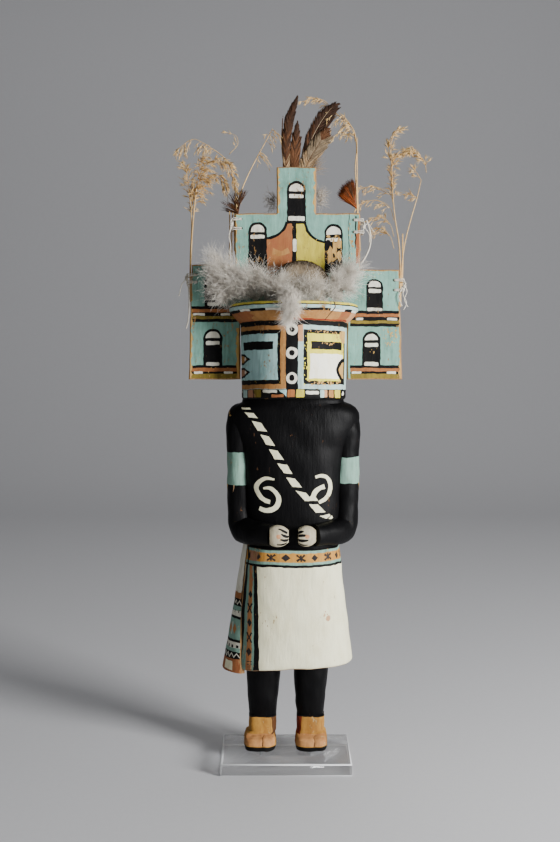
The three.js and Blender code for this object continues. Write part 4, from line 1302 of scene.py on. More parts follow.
@dataclass
class Arms:
    """An arm that hangs beside the body and bends forward at the elbow to the hand."""

    side: int
    band: tuple[float, float]
    spread: float = 71.0
    width: float = 16.8
    depth: float = 20.5
    hand_spread: float = 17.8
    wrist: float = 14.2
    radius: float = 8.6
    roundness: float = 2.25

    def _frames(self) -> tuple[Array, ...]:
        """Follows the arm's middle line and its size at each step."""
        shoulder, elbow = self.spread / 2, BELT_TOP_Z + 10.8
        places = (
            (shoulder - 2.6, 0.5, MASK_Z - 4.6), (shoulder - 1.2, 0.2, MASK_Z - 7),
            (shoulder, 0, MASK_Z - 15),
            (shoulder, 0, MASK_Z - 35), (shoulder - 0.1, 0, MASK_Z - 58), (shoulder - 0.4, -0.4, elbow + 12),
            (shoulder - 2.2, -3.8, elbow + 1.2), (shoulder - 7.6, -12, elbow - 0.4),
            (shoulder - 15.5, -20, elbow - 0.4), (self.hand_spread / 2 + 4.6, -25.2, elbow - 0.4),
        )
        shares = (8 / 16.8, 13 / 16.8, 1, 1, 1, 1, 1.04, 0.94, 0.84, 0.72)
        deeps = (9, 15, self.depth, self.depth, self.depth, self.depth * 0.98, 19.4, 17, 15, self.wrist)
        rows = np.array([(BODY_X + self.side * x, FIGURE_Y + y, z, share * self.width, deep)
                         for (x, y, z), share, deep in zip(places, shares, deeps)])
        steps = np.concatenate(([0.0], np.cumsum(np.linalg.norm(np.diff(rows[:, :3], axis=0), axis=1))))
        along = np.linspace(0, steps[-1], 90)
        dense = smooth_rows(along, steps, rows)
        middle = dense[:, :3]
        heading = np.gradient(middle, axis=0)
        heading /= np.linalg.norm(heading, axis=1, keepdims=True)
        outward = np.array([1.0, 0.0, 0.0])
        across = outward - heading * (heading @ outward)[:, None]
        across /= np.linalg.norm(across, axis=1, keepdims=True)
        return along, middle, across, np.cross(heading, across), dense[:, 3], dense[:, 4]

    def shell(self) -> Shell:
        """Carves and paints one arm."""
        along, middle, across, other, widths, deeps = self._frames()

        def surface(flat: Array) -> Array:
            """Turns chart points into places on the arm."""
            place = -flat[:, 1]
            angle = flat[:, 0] / self.radius
            read = [np.column_stack([np.interp(place, along, column) for column in table.T])
                    for table in (middle, across, other)]
            wide, deep = np.interp(place, along, widths) / 2, np.interp(place, along, deeps) / 2
            side, front = np.sin(angle), np.cos(angle)
            reach = squared_reach(side, front, self.roundness)
            return (read[0] + read[1] * (wide * side * reach)[:, None]
                    + read[2] * (deep * front * reach)[:, None])

        chart = ring_chart(self.radius, -along[-1], -along[0], Paint.BODY_BLACK, 1.5, 51 + self.side)
        half = math.pi * self.radius
        heights = middle[:, 2]
        straight = slice(0, int(np.argmin(heights)) + 1)
        at = [-float(np.interp(-z, -heights[straight], along[straight])) for z in self.band]
        chart.paint(Paint.ARMBAND, level_box(-half, half, at[0], at[1]))
        edge = self.side * self.radius
        chart.paint(Paint.FLAKED_WOOD, [(edge * 1.05, at[0]), (edge * 1.6, at[0]),
                                        (edge * 1.45, at[0] - 6.2)])
        if self.side < 0:
            chart.paint(Paint.STAIN, [(edge * 0.42, at[0]), (edge * 0.52, at[0]), (edge * 0.5, at[0] - 5)])
        shoulder = -float(along[0])
        chart.flakes(Paint.FLAKED_WOOD, edge * 1.3, shoulder - 5.5, 9, 3.0, 7, 1.3)
        chart.flakes(Paint.FLAKED_WOOD, edge * 0.6, -0.72 * along[-1], 8, 14, 4, 0.5)
        return wrap(chart, surface, Paint.BODY_BLACK, Paint.BODY_BLACK).carved(0.2, 13, 12 + self.side)


@dataclass
class Hands:
    """A closed hand with its fingers lying one above another, parted by tapered black grooves."""

    side: int
    width: float = 12.2
    height: float = 14.2
    depth: float = 10.6
    radius: float = 6.2
    roundness: float = 2.3
    ends: tuple[float, float] = (0.2, 0.92)
    grooves: tuple[tuple[float, float, float, float], ...] = ()

    def shell(self) -> Shell:
        """Carves and paints one hand, as rings along its length with the fingertips last."""
        steps = np.linspace(0, 1, 24)
        swell = np.sin(np.pi * (self.ends[0] + (self.ends[1] - self.ends[0]) * steps)) ** 0.45
        half = self.width / 2
        tip = self.side
        x = BODY_X - 0.1 + self.side * (9.1 if self.side < 0 else 9.0)
        y, z = FIGURE_Y - 27.2, BELT_TOP_Z + 10.4
        length = self.width
        # The hands' white carries painted shade besides its tan tint.
        chart = ring_chart(self.radius, 0.0, length, Paint.HAND_WHITE, 0.55, 61 + self.side)
        chart.wobble = 0.08
        lines = []
        for start, end, rise, end_rise in self.grooves:
            line = [(rise, start * length), ((rise + end_rise) / 2, (start + end) / 2 * length),
                    (end_rise, end * length)]
            lines.append(spline(line, 20))
            chart.paint(Paint.BLACK, stroke(line, (0.8, 1.9, 2.3), 14), spacing=0.5)
        spot = 0.47 if self.side < 0 else 0.49
        chart.paint(Paint.PINK_TAN, ellipse(0.4, spot * length, 1.3, 1.5, 12), spacing=0.5)

        def surface(flat: Array) -> Array:
            """Turns chart points into places on the hand."""
            share = np.clip(flat[:, 1] / length, 0, 1)
            angle = flat[:, 0] / self.radius
            reach = np.interp(share, steps, np.maximum(swell, 0.06))
            up, front = np.sin(angle), np.cos(angle)
            rounded = squared_reach(up, front, self.roundness)
            groove = np.zeros(len(flat))
            for line in lines:
                away = np.linalg.norm(flat[:, None, :] - line[None, :, :], axis=2)
                nearest = away.min(axis=1)
                deep = np.linspace(0.25, 1.0, len(line))[away.argmin(axis=1)]
                groove = np.maximum(groove, deep * np.exp(-((nearest / 0.75) ** 2)))
            size = reach * rounded - groove * 0.11
            return np.column_stack((
                x + tip * (half - share * length),
                y - self.depth / 2 * front * size - 0.9 * share,
                z + self.height / 2 * up * size,
            ))

        shell = wrap(chart, surface, Paint.HAND_WHITE, Paint.HAND_WHITE)
        if self.side < 0:
            shell = Shell(shell.points, shell.faces[:, ::-1], shell.paints)
        return shell


@dataclass
class Mask:
    """The case mask: a painted drum with a flared brim in front of the board."""

    bottom_radius: float = 34.2
    top_radius: float = 35.1
    height: float = 52.4
    radius: float = 34.6

    def deg(self, angle: float) -> float:
        """Distance round the chart for an angle from the front."""
        return math.radians(angle) * self.radius

    def _box(self, a0: float, a1: float, z0: float, z1: float) -> Outline:
        """A rectangle between two angles and two levels."""
        return level_box(self.deg(a0), self.deg(a1), z0, z1)

    def _left_face(self, chart: Chart) -> None:
        """Paints the blue half with its orange frame, eye slit and petals."""
        chart.paint(Paint.ORANGE_TAN, self._box(-96, -9.0, 6.4, 46.9))
        chart.paint(Paint.BLACK, self._box(-96, -14.8, 9.3, 44.2))
        chart.paint(Paint.MASK_BLUE, self._box(-96, -18.0, 12.2, 41.7))
        chart.paint(Paint.BLACK, round_box(self.deg(-70.4), self.deg(-22.5), 31.6, 36.9, 0.5))
        for middle, inner in ((25.9, Paint.ORANGE_TAN), (17.2, Paint.DUSTY_PINK)):
            petal = [(self.deg(-100), middle - 3.8), (self.deg(-70), middle - 3.4), (self.deg(-54.6), middle),
                     (self.deg(-70), middle + 3.4), (self.deg(-100), middle + 3.8)]
            chart.paint(Paint.BLACK, petal)
            small = [(self.deg(-100), middle - 2.3), (self.deg(-72), middle - 2.1), (self.deg(-61), middle),
                     (self.deg(-72), middle + 2.1), (self.deg(-100), middle + 2.3)]
            chart.paint(inner, small)
            chart.paint(Paint.WHITE, ellipse(self.deg(-66.5), middle, 1.5, 1.3, 12))
        chart.flakes(Paint.OLIVE, self.deg(-16.5), 30, 1.2, 26, 9, 0.7)
        chart.flakes(Paint.OLIVE, self.deg(-30), 10.6, 22, 2.6, 10, 0.8)
        chart.flakes(Paint.FLAKED_WOOD, self.deg(-12), 26, 2.4, 34, 16, 0.8)

    def _right_face(self, chart: Chart) -> None:
        """Paints the yellow and white half with its worn black frame."""
        chart.paint(Paint.PALE_BLUE, self._box(3.9, 97, 5.9, 46.9))
        chart.paint(Paint.PINK_TAN, self._box(3.9, 9.4, 36.6, 47.0))
        chart.paint(Paint.BLACK, self._box(9.8, 97, 9.2, 44.2))
        chart.paint(Paint.PALE_YELLOW, self._box(13.8, 97, 11.4, 41.8))
        chart.paint(Paint.PANEL_WHITE, self._box(16.8, 66.0, 13.0, 28.9))
        chart.paint(Paint.BLACK, round_box(self.deg(17.9), self.deg(62.7), 31.7, 36.6, 0.5))
        ring = [(self.deg(78), 26.0), (self.deg(62), 24.2), (self.deg(54.0), 18.7), (self.deg(62), 13.2),
                (self.deg(78), 11.2)]
        chart.paint(Paint.FLAKED_WOOD, [*ring, (self.deg(97), 11.2), (self.deg(97), 26.0)])
        chart.paint(Paint.BLACK, stroke(ring, (2.4, 2.9, 3.0, 2.7)))
        chart.paint(Paint.FLAKED_WOOD, self._box(68, 97, 26.5, 36.4))
        lost = ((97, 44.4), (60, 44.4), (61.5, 43.0), (56.5, 41.9), (57.5, 39.8), (60.5, 38.6), (62, 36.2),
                (97, 36.0))
        chart.paint(Paint.FLAKED_WOOD, [(self.deg(x), z) for x, z in lost])
        chart.paint(Paint.BLACK, self._box(68.5, 72.5, 9.2, 36.4))
        chart.paint(Paint.PALE_BLUE, self._box(72.5, 97, 5.9, 46.9))
        wood = Paint.FLAKED_WOOD
        chart.flakes(wood, self.deg(34), 43.4, 26, 2.4, 20, 1.2)
        chart.flakes(Paint.PALE_YELLOW, self.deg(11.9), 24.5, 2.2, 32, 20, 1.2)
        chart.flakes(wood, self.deg(38), 10.2, 27, 2.4, 38, 1.5)
        chart.flakes(wood, self.deg(41), 35.4, 13, 1.8, 16, 1.0)
        chart.flakes(wood, self.deg(57), 40.5, 8, 5.0, 14, 1.6)
        chart.flakes(wood, self.deg(66), 33, 4, 9.0, 10, 1.4)
        chart.flakes(Paint.PALE_BLUE, self.deg(45), 45.4, 30, 1.2, 6, 0.5)

    def _mosaic(self, chart: Chart) -> None:
        """Paints the row of coloured blocks along the lower edge."""
        chart.paint(Paint.BLACK, self._box(-180, 180, 0, 6.2))
        low, high = 0.9, 5.9
        blocks = (
            (-74.4, -62.5, Paint.PALE_BLUE), (-60.7, -50.3, Paint.DUSTY_PINK), (-49.1, -38.3, Paint.OLIVE),
            (-7.2, 0.4, Paint.ORANGE_BROWN), (2.0, 10.8, Paint.YELLOW_GREEN), (28.8, 34.2, Paint.PALE_BLUE),
            (34.2, 38.1, Paint.PINK_TAN), (40.3, 47.8, Paint.ORANGE_TAN), (49.8, 61.2, Paint.YELLOW_GREEN),
        )
        for start, end, paint in blocks:
            chart.paint(paint, round_box(self.deg(start), self.deg(end), low, high, 0.6))
        chart.paint(Paint.WHITE, round_box(self.deg(-35.8), self.deg(-19.0), 3.9, 5.8, 0.8),
                    round_box(self.deg(12.4), self.deg(27.4), 2.9, 5.0, 0.8),
                    ellipse(self.deg(-79), 4.8, 1.0, 0.8, 12), ellipse(self.deg(69.5), 3.6, 2.2, 1.4, 16))
        chart.paint(Paint.SALMON, round_box(self.deg(-24.6), self.deg(-11.7), 1.0, 2.8, 0.4))
        chart.paint(Paint.MASK_BLUE, [(self.deg(-17.0), 5.8), (self.deg(-8.4), 5.8), (self.deg(-8.4), 1.2)])
        for k, start in enumerate((108, 130, 152, -117, -139, -161)):
            chart.paint((Paint.PALE_BLUE, Paint.OLIVE, Paint.DUSTY_PINK)[k % 3],
                        round_box(self.deg(start), self.deg(start + 9), low, high, 0.6))

    def drum(self) -> Shell:
        """Carves and paints the drum, in the head's frame."""
        chart = ring_chart(self.radius, 0, self.height, Paint.MASK_BLUE, 1.4, 71)
        chart.wobble = 0.16
        chart.paint(Paint.BLACK, self._box(-180, 180, 46.9, 50.2))
        self._left_face(chart)
        self._right_face(chart)
        chart.paint(Paint.BLACK, self._box(-9.0, 3.9, 0.5, 47.5))
        self._mosaic(chart)
        for z in (44.1, 29.2, 13.2):
            chart.paint(Paint.WHITE, ellipse(self.deg(-2.5), z, 3.75, 3.75, 30))
            chart.paint(Paint.BLACK, ellipse(self.deg(-2.5), z, 1.8, 1.8, 20))
        chart.paint(Paint.BLACK, self._box(-104, -96.5, 6.2, 50), self._box(97, 104, 6.2, 50))
        levels = [(0, 0, self.bottom_radius - 1), (0.9, 0.9, self.bottom_radius),
                  (26, 26, 34.65), (51.4, 51.4, self.top_radius),
                  (self.height, self.height, self.top_radius - 1)]
        form = Oval([(v, z, 0, 0, r, r) for v, z, r in levels], 2, self.radius, smooth=False)
        return wrap(chart, form.surface, Paint.BLACK, Paint.TURQUOISE).carved(0.12, 15, 14)

    def brim(self) -> Shell:
        """Carves and paints the whole flared brim, in the head's frame."""
        profile = ((46.0, 46.0, 34.1), (50.0, 50.0, 35.3), (53.4, 53.4, 38.9), (56.8, 56.8, 41.6),
                   (58.4, 58.4, BRIM_RADIUS), (61.3, 61.3, BRIM_RADIUS), (62.3, BRIM_TOP, BRIM_RADIUS - 0.8),
                   (103.0, BRIM_TOP, 1.5))
        form = Oval([(v, z, 0, 0, r, r) for v, z, r in profile], 2, self.radius, smooth=False)
        chart = ring_chart(self.radius, profile[0][0], profile[-1][0], Paint.TURQUOISE, 1.6, 72)
        bands = ((46.0, 50.1, Paint.BLACK), (50.1, 55.9, Paint.ORANGE_TAN), (55.9, 57.5, Paint.BLACK),
                 (57.5, 59.6, Paint.PALE_BLUE), (59.6, 60.3, Paint.BLACK), (60.3, 63.2, Paint.YELLOW_GREEN))
        for low, high, paint in bands:
            chart.paint(paint, self._box(-180, 180, low, high))
        for start, end in ((-57, -43.5), (-26, -12), (34, 51.5), (64, 80)):
            chart.paint(Paint.WHITE, self._box(start, end, 56.0, 57.4))
        for left, right, paint in ((-100, -44, Paint.SALMON), (49, 66, Paint.SALMON),
                                   (66, 100, Paint.PINK_TAN)):
            worn = [(right, 50.1), (right - 4, 51.8), (right + 3, 53.2), (right - 2, 54.6), (right + 1, 55.9)]
            chart.paint(paint, [(self.deg(left), 55.9), (self.deg(left), 50.1),
                                *((self.deg(x), z) for x, z in worn)])
        chart.paint(Paint.RED, stroke([(self.deg(-4), 50.6), (self.deg(30), 50.6), (self.deg(72), 50.8)],
                                      (0.9, 0.7, 1.0)))
        chart.paint(Paint.MOTIF, stroke([(self.deg(36.5), 62.6), (self.deg(37.4), 58), (self.deg(35.2), 54.2),
                                         (self.deg(32.8), 50.4)], (0.8, 0.9, 0.7, 0.6)))
        chart.flakes(Paint.FLAKED_WOOD, self.deg(40), 60, 12, 2, 8, 0.5)
        return wrap(chart, form.surface, Paint.BLACK, Paint.TURQUOISE).carved(0.12, 15, 14)


class CarvedFigure:
    """The figure carved from one piece of root: feet to mask."""

    def __init__(self) -> None:
        """Sets out the figure's parts."""
        self.kilt = Kilt()
        self.feet = (Feet(-17.4, 1, 1, cuff_shift=1.8), Feet(17.1, -1, 2))
        self.legs = (Legs(-15.6, -14.8, 3), Legs(16.3, 17.1, 4))
        self.arms = (Arms(-1, (186.7, 208.2)), Arms(1, (187.7, 205.1)))
        left = ((0.45, 0.93, 5.1, 3.5), (0.6, 1.0, 1.9, 0.0), (0.55, 1.0, -1.3, -3.2),
                (0.38, 0.92, -4.6, -5.8))
        right = ((0.7, 1.0, 3.8, 3.8), (0.46, 1.0, 1.1, 1.3), (0.43, 1.0, -1.8, -2.5),
                 (0.47, 1.0, -5.3, -6.2))
        self.hands = (Hands(-1, grooves=left), Hands(1, 11.4, 13.6, ends=(0.08, 0.84), grooves=right))

    def build(self) -> bpy.types.Object:
        """Carves all parts and joins them into one piece.

        Returns:
            The finished figure.
        """
        mask = Mask()
        brim = shell_object("brim", mask.brim().moved(head_to_world))
        behind = new_object("behind", *self._block(), paint_materials()[:1])
        cut_or_join(brim, [behind], "DIFFERENCE")
        figure = shell_object("painted_figure", self.kilt.shell())
        shells = [part.shell() for part in (*self.feet, *self.legs, Torso(), *self.arms, *self.hands)]
        shells += [Sash(self.kilt).shell(), mask.drum().moved(head_to_world)]
        parts = [shell_object(f"part_{i}", shell) for i, shell in enumerate(shells)]
        cut_or_join(figure, [*parts, brim], "UNION")
        drop_unused_slots(figure)
        figure.data.set_sharp_from_angle(angle=math.radians(38))
        return placed(figure, "painted_wood", "carved_figure")

    @staticmethod
    def _block() -> tuple[Array, Array]:
        """A plain block that takes away the brim behind the board's face."""
        reach = 100.0
        front = BOARD_FRONT - 0.3
        corners = np.array([(x, y, z) for z in (30.0, 90.0) for y in (front, reach) for x in (-reach, reach)])
        faces = np.array([(0, 2, 3), (0, 3, 1), (4, 5, 7), (4, 7, 6), (0, 1, 5), (0, 5, 4),
                          (2, 6, 7), (2, 7, 3), (0, 4, 6), (0, 6, 2), (1, 3, 7), (1, 7, 5)])
        return head_to_world(corners), faces


# The board

@dataclass(frozen=True)
class Window:
    """A black doorway with a white half-moon and white bars."""

    x: float
    width: float
    foot: float
    top: float
    moon: tuple[float, float, float]
    bar: tuple[float, float]
    sill: Optional[tuple[float, float, float]] = None

    def paint(self, chart: Chart) -> None:
        """Paints the window on the board's chart."""
        chart.paint(Paint.BLACK, arch(self.x, self.width, self.foot, self.top, self.width * 0.5))
        width, low, high = self.moon
        chart.paint(Paint.WHITE, arch(self.x, width, low, high, (high - low) * 0.86))
        low, high = self.bar
        half = self.moon[0] / 2 + 0.2
        chart.paint(Paint.WHITE, round_box(self.x - half, self.x + half, low, high, 0.7))
        if self.sill:
            width, low, high = self.sill
            chart.paint(Paint.WHITE, round_box(self.x - width / 2, self.x + width / 2, low, high, 0.8))


@dataclass
class Tableta:
    """The stepped board, painted on its face and plain behind."""

    low: float = 13.4
    wing_low: float = 70.85
    notch: float = 35.5
    notch_top: float = 52.8
    tower: tuple[float, float] = (-11.2, 14.9)
    bevel: float = 0.7
    hole: float = 0.95

    def outline(self) -> list[tuple[float, float]]:
        """The board's outline, counter-clockwise from its lower left corner."""
        middle = WING_MIDDLE
        return [
            (middle - self.wing_low, self.low), (-self.notch, self.low), (-self.notch, self.notch_top),
            (self.notch, self.notch_top), (self.notch, self.low), (middle + self.wing_low, self.low),
            (middle + WING_HALF, WING_TOP_RIGHT), (TIER_RIGHT, WING_TOP_RIGHT), (TIER_RIGHT, TIER_TOP),
            (self.tower[1], TIER_TOP), (self.tower[1], TOWER_TOP), (self.tower[0], TOWER_TOP),
            (self.tower[0], TIER_TOP), (TIER_LEFT, TIER_TOP), (TIER_LEFT, WING_TOP_LEFT),
            (middle - WING_HALF, WING_TOP_LEFT),
        ]

    def holes(self) -> list[tuple[float, float, float]]:
        """The string holes, in pairs beside each bundle of grass."""
        return [(edge - side * HOLE_INSET, z, self.hole) for _, side, edge, levels in TIES for z in levels]

    def _wings(self, chart: Chart) -> None:
        """Paints the bands across both wings."""
        left, right = (-69.2, -37.4), (37.4, 70.6)
        wide = ((left, 0.0), (right, -3.0))
        for (x0, x1), shift in wide:
            z = 52.0 + shift
            rows = ((-0.6, 1.4, Paint.BLACK), (1.4, 3.4, Paint.OLIVE), (3.4, 5.8, Paint.BLACK),
                    (5.8, 8.1, Paint.ORANGE_BROWN), (8.1, 9.9, Paint.BLACK))
            for low, high, paint in rows:
                chart.paint(paint, level_box(x0, x1, z + low, z + high))
            for low, high, paint in ((13.0, 17.1, Paint.OLIVE), (17.1, 18.6, Paint.BLACK),
                                     (18.6, 20.9, Paint.ORANGE_BROWN), (20.9, 22.8, Paint.BLACK)):
                chart.paint(paint, level_box(x0, x1, low, high))
        for x0, x1, z in ((-66.9, -58.9, 55.7), (-48.3, -42.3, 55.7), (41.4, 46.0, 52.6), (62.0, 68.6, 52.6),
                          (-66.2, -60.2, 17.2), (-46.3, -40.3, 17.2), (38.4, 44.9, 17.2), (61.9, 67.9, 17.2)):
            chart.paint(Paint.WHITE, round_box(x0, x1, z, z + 1.5, 0.4))

    def _field(self, chart: Chart) -> None:
        """Paints the two-coloured field that spreads from the tower's window down to the down."""
        left = [tuple(p) for p in spline([(-4.6, 117.9), (-5.6, 114.6), (-9.5, 110.2), (-14, 107.8),
                                          (-18.6, 106.7)], 16)]
        right = [tuple(p) for p in spline([(7.4, 117.9), (8.4, 113.6), (11, 109.2), (15.2, 106.2),
                                           (20.6, 104.4)], 16)]
        chart.paint(Paint.SALMON, [(-0.4, 117.9), *left, (-18.6, 66), (-0.4, 66)])
        chart.paint(Paint.YELLOW_GREEN, [(1.9, 117.9), *right, (20.6, 66), (1.9, 66)])
        chart.paint(Paint.ORANGE_TAN, stroke([(-14, 98), (-8, 97), (-3, 99)], (5, 3, 4)))
        chart.paint(Paint.BLACK, level_box(-0.9, 1.9, 66, 118))
        chart.paint(Paint.WHITE, round_box(-0.6, 1.7, 98.3, 106.7, 1.0))
        chart.paint(Paint.BLACK, stroke(left, (1.8, 1.8)), stroke(right, (1.8, 1.5)))

    def _wear(self, chart: Chart) -> None:
        """Shows bare wood along the upright edges, the crack and the flaked places, and paints a shadow line
        beside the strip at the step's right edge.
        """
        wood = Paint.FLAKED_WOOD
        for seed, (x, low, high, width) in enumerate((
            (self.tower[0] + 0.4, TIER_TOP, TOWER_TOP, 3.4), (self.tower[1] + 0.2, TIER_TOP, TOWER_TOP, 4.0),
            (WING_MIDDLE - self.wing_low + 0.8, self.low, WING_TOP_LEFT, 3.6),
            (WING_MIDDLE + self.wing_low - 0.6, self.low, WING_TOP_RIGHT, 3.4),
            (-self.notch - 1.0, self.low, 47.5, 3.6), (TIER_LEFT + 0.3, 90, TIER_TOP, 2.2),
        )):
            chart.paint(wood, worn_edge(x, low, high, width, seed))
        for x0, x1, z in ((TIER_LEFT, self.tower[0], TIER_TOP), (self.tower[1], TIER_RIGHT, TIER_TOP),
                          (-68, TIER_LEFT, WING_TOP_LEFT), (TIER_RIGHT, 70, WING_TOP_RIGHT)):
            chart.paint(wood, stroke([(x0, z - 0.5), ((x0 + x1) / 2, z - 0.2), (x1, z - 0.6)],
                                     (1.0, 1.6, 0.8)))
        chart.paint(Paint.SALMON, level_box(41.2, 45, 90, 110), level_box(42.2, 45, 110, 119))
        # A black line left of the orange strip at the step's right edge: painted shadow of the gap between
        # strip and board.
        chart.paint(Paint.BLACK, stroke([(41.3, 121.5), (40.9, 114), (41.1, 106), (40.5, 100)],
                                        (1.0, 0.8, 0.9, 0.5)))
        chart.paint(Paint.MOTIF, stroke([(36.9, 123.6), (36.5, 113), (36.7, 101), (36.1, 88)],
                                        (0.5, 0.4, 0.5, 0.35)))
        chart.flakes(wood, 38.2, 108, 2.6, 30, 13, 1.5)
        chart.paint(wood, ragged_box(22.8, 31.6, 91.5, 105.2, 2.6, 0.9, 3), spacing=0.7)
        chart.paint(Paint.BLACK, ragged_box(21.0, 26.0, 100.4, 104.6, 1.6, 0.8, 5),
                    ragged_box(28.6, 31.4, 97.4, 100.6, 1.2, 0.8, 6),
                    ragged_box(26.2, 27.6, 93.0, 97.0, 1.5, 0.6, 8))
        chart.flakes(wood, 27.0, 107, 9.5, 4.5, 12, 1.5)
        chart.flakes(wood, 22.0, 97, 2.5, 8, 8, 0.8)
        chart.flakes(wood, 27.0, 90, 9, 3, 7, 0.8)
        chart.flakes(wood, 63.0, 41.5, 11, 12, 34, 1.5)
        chart.flakes(wood, 53.0, 31.0, 7, 7, 5, 0.9)
        chart.flakes(wood, 40.5, 36.0, 5, 22, 8, 0.7)
        chart.flakes(wood, -52, 18.0, 26, 7, 12, 0.8)
        chart.flakes(wood, 14, 108, 8, 5, 8, 0.6)
        chart.flakes(Paint.YELLOW_GREEN, 52, 82, 10, 4, 4, 0.8)

    def _chart(self) -> Chart:
        """Lays out all of the board's paint."""
        chart = Chart(self._inset(self.outline(), self.bevel), Paint.TURQUOISE, 2.2, seed=81)
        chart.holes = self.holes()
        self._wings(chart)
        self._field(chart)
        windows = (
            Window(1.75, 12.6, 116.6, 145.0, (9.4, 138.1, 143.1), (133.7, 136.2), (10.8, 118.6, 121.6)),
            Window(-23.9, 12.5, 84.0, 117.7, (8.8, 111.0, 116.0), (106.8, 109.1)),
            Window(26.5, 12.2, 84.0, 116.4, (9.4, 109.4, 114.6), (104.8, 107.0)),
            Window(-53.4, 11.6, 60.0, 83.2, (8.4, 77.9, 81.9), (73.9, 75.9), (8.4, 62.2, 64.4)),
            Window(-53.7, 12.6, 20.9, 46.9, (8.8, 40.8, 45.2), (36.4, 38.8), (8.6, 22.4, 24.6)),
            Window(53.7, 11.2, 56.6, 80.1, (7.6, 74.6, 78.9), (70.8, 73.2), (10.4, 58.6, 60.8)),
            Window(51.5, 12.2, 20.9, 45.4, (8.6, 39.4, 43.6), (34.9, 37.4), (9.4, 22.2, 24.8)),
        )
        for window in windows:
            window.paint(chart)
        self._wear(chart)
        return chart

    @staticmethod
    def _inset(outline: Outline, distance: float) -> list[tuple[float, float]]:
        """Draws an outline a little inside another one that runs counter-clockwise."""
        points = np.asarray(outline, float)
        ahead = np.roll(points, -1, axis=0) - points
        ahead /= np.linalg.norm(ahead, axis=1, keepdims=True)
        inward = np.column_stack((-ahead[:, 1], ahead[:, 0]))
        before = np.roll(inward, 1, axis=0)
        mitre = (inward + before) / (1 + (inward * before).sum(axis=1, keepdims=True))
        return [tuple(p) for p in points + mitre * distance]

    def build(self) -> bpy.types.Object:
        """Cuts the board out and paints it.

        Returns:
            The finished board.
        """
        chart = self._chart()
        inset = np.asarray(chart.border, float)
        full = np.asarray(self.outline(), float)

        def grown(flat: Array) -> Array:
            """Moves the points on the inset outline out to the full one."""
            moved = flat.copy()
            for here, there, to_here, to_there in zip(inset, np.roll(inset, -1, axis=0), full,
                                                      np.roll(full, -1, axis=0)):
                ahead = there - here
                share = ((flat - here) @ ahead) / (ahead @ ahead)
                away = np.linalg.norm(flat - (here + share[:, None] * ahead), axis=1)
                on = (away < 1e-3) & (share > -1e-6) & (share < 1 + 1e-6)
                moved[on] = to_here + share[on, None] * (to_there - to_here)
            return moved

        def layer(depth: float, outer: bool) -> Place:
            """One ring of the board's edge at a depth."""
            def place(flat: Array) -> Array:
                """Lays chart points at the ring's depth."""
                spots = grown(flat) if outer else flat
                return np.column_stack((spots[:, 0], np.full(len(spots), depth), spots[:, 1]))
            return place

        layers = (layer(BOARD_FRONT, False), layer(BOARD_FRONT + self.bevel, True),
                  layer(BOARD_BACK - self.bevel, True), layer(BOARD_BACK, False))
        shell = slab(chart, layers, (Paint.BARE_WOOD, Paint.BOARD_BACK)).carved(0.13, 16, 15)
        board = shell_object("painted_board", shell.moved(head_to_world), 30)
        drop_unused_slots(board)
        return placed(board, "painted_board", "tableta")


# Base, pins and string

@dataclass(frozen=True)
class ClearFinish:
    """Clear acrylic."""

    alpha: float = 0.35
    tint: tuple[float, float, float] = (0.97, 0.98, 0.985)
    passing: float = 1.0
    roughness: float = 0.03

    def material(self, name: str) -> bpy.types.Material:
        """Builds the see-through material with faint handling marks in its bump."""
        nodes = Nodes(name)
        shader = nodes.shader
        shader.inputs["Base Color"].default_value = (*self.tint, 1.0)
        shader.inputs["Transmission Weight"].default_value = self.passing
        shader.inputs["IOR"].default_value = 1.49
        shader.inputs["Roughness"].default_value = self.roughness
        shader.inputs["Alpha"].default_value = self.alpha
        nodes.bump(nodes.noise((90, 90, 90), 2, 0.5), 0.00002, 0.25)
        return nodes.material


@dataclass(frozen=True)
class SteelFinish:
    """Bright steel wire, drawn along its length."""

    def material(self, name: str) -> bpy.types.Material:
        """Builds the steel's material."""
        nodes = Nodes(name)
        lines = nodes.noise((2600, 2600, 60), 3, 0.6)
        nodes.colour(nodes.mix(lines, (196, 198, 202), (164, 166, 170)))
        nodes.shader.inputs["Metallic"].default_value = 1.0
        nodes.shader.inputs["Roughness"].default_value = 0.28
        nodes.bump(lines, 0.00005, 0.5)
        return nodes.material


@dataclass(frozen=True)
class FibreFinish:
    """Cotton, down, feather or straw: two shades that change along and across the fibres."""

    light: Colour
    dark: Colour
    roughness: float = 0.85
    scale: float = 350.0
    sheen: float = 0.0

    def material(self, name: str) -> bpy.types.Material:
        """Builds the fibre's material."""
        nodes = Nodes(name)
        fine = nodes.noise((self.scale, self.scale, self.scale), 4, 0.65)
        broad = nodes.noise((self.scale / 7, self.scale / 7, self.scale / 9), 3, 0.55, 4.2)
        shade = nodes.times(nodes.times(fine, 0.55), nodes.times(broad, 0.45), "ADD")
        nodes.colour(nodes.mix(nodes.ramp(shade, 0.34, 0.66), self.light, self.dark))
        nodes.shader.inputs["Roughness"].default_value = self.roughness
        nodes.shader.inputs["Specular IOR Level"].default_value = 0.15
        nodes.shader.inputs["Sheen Weight"].default_value = self.sheen
        nodes.bump(fine, 0.00012, 0.5)
        return nodes.material


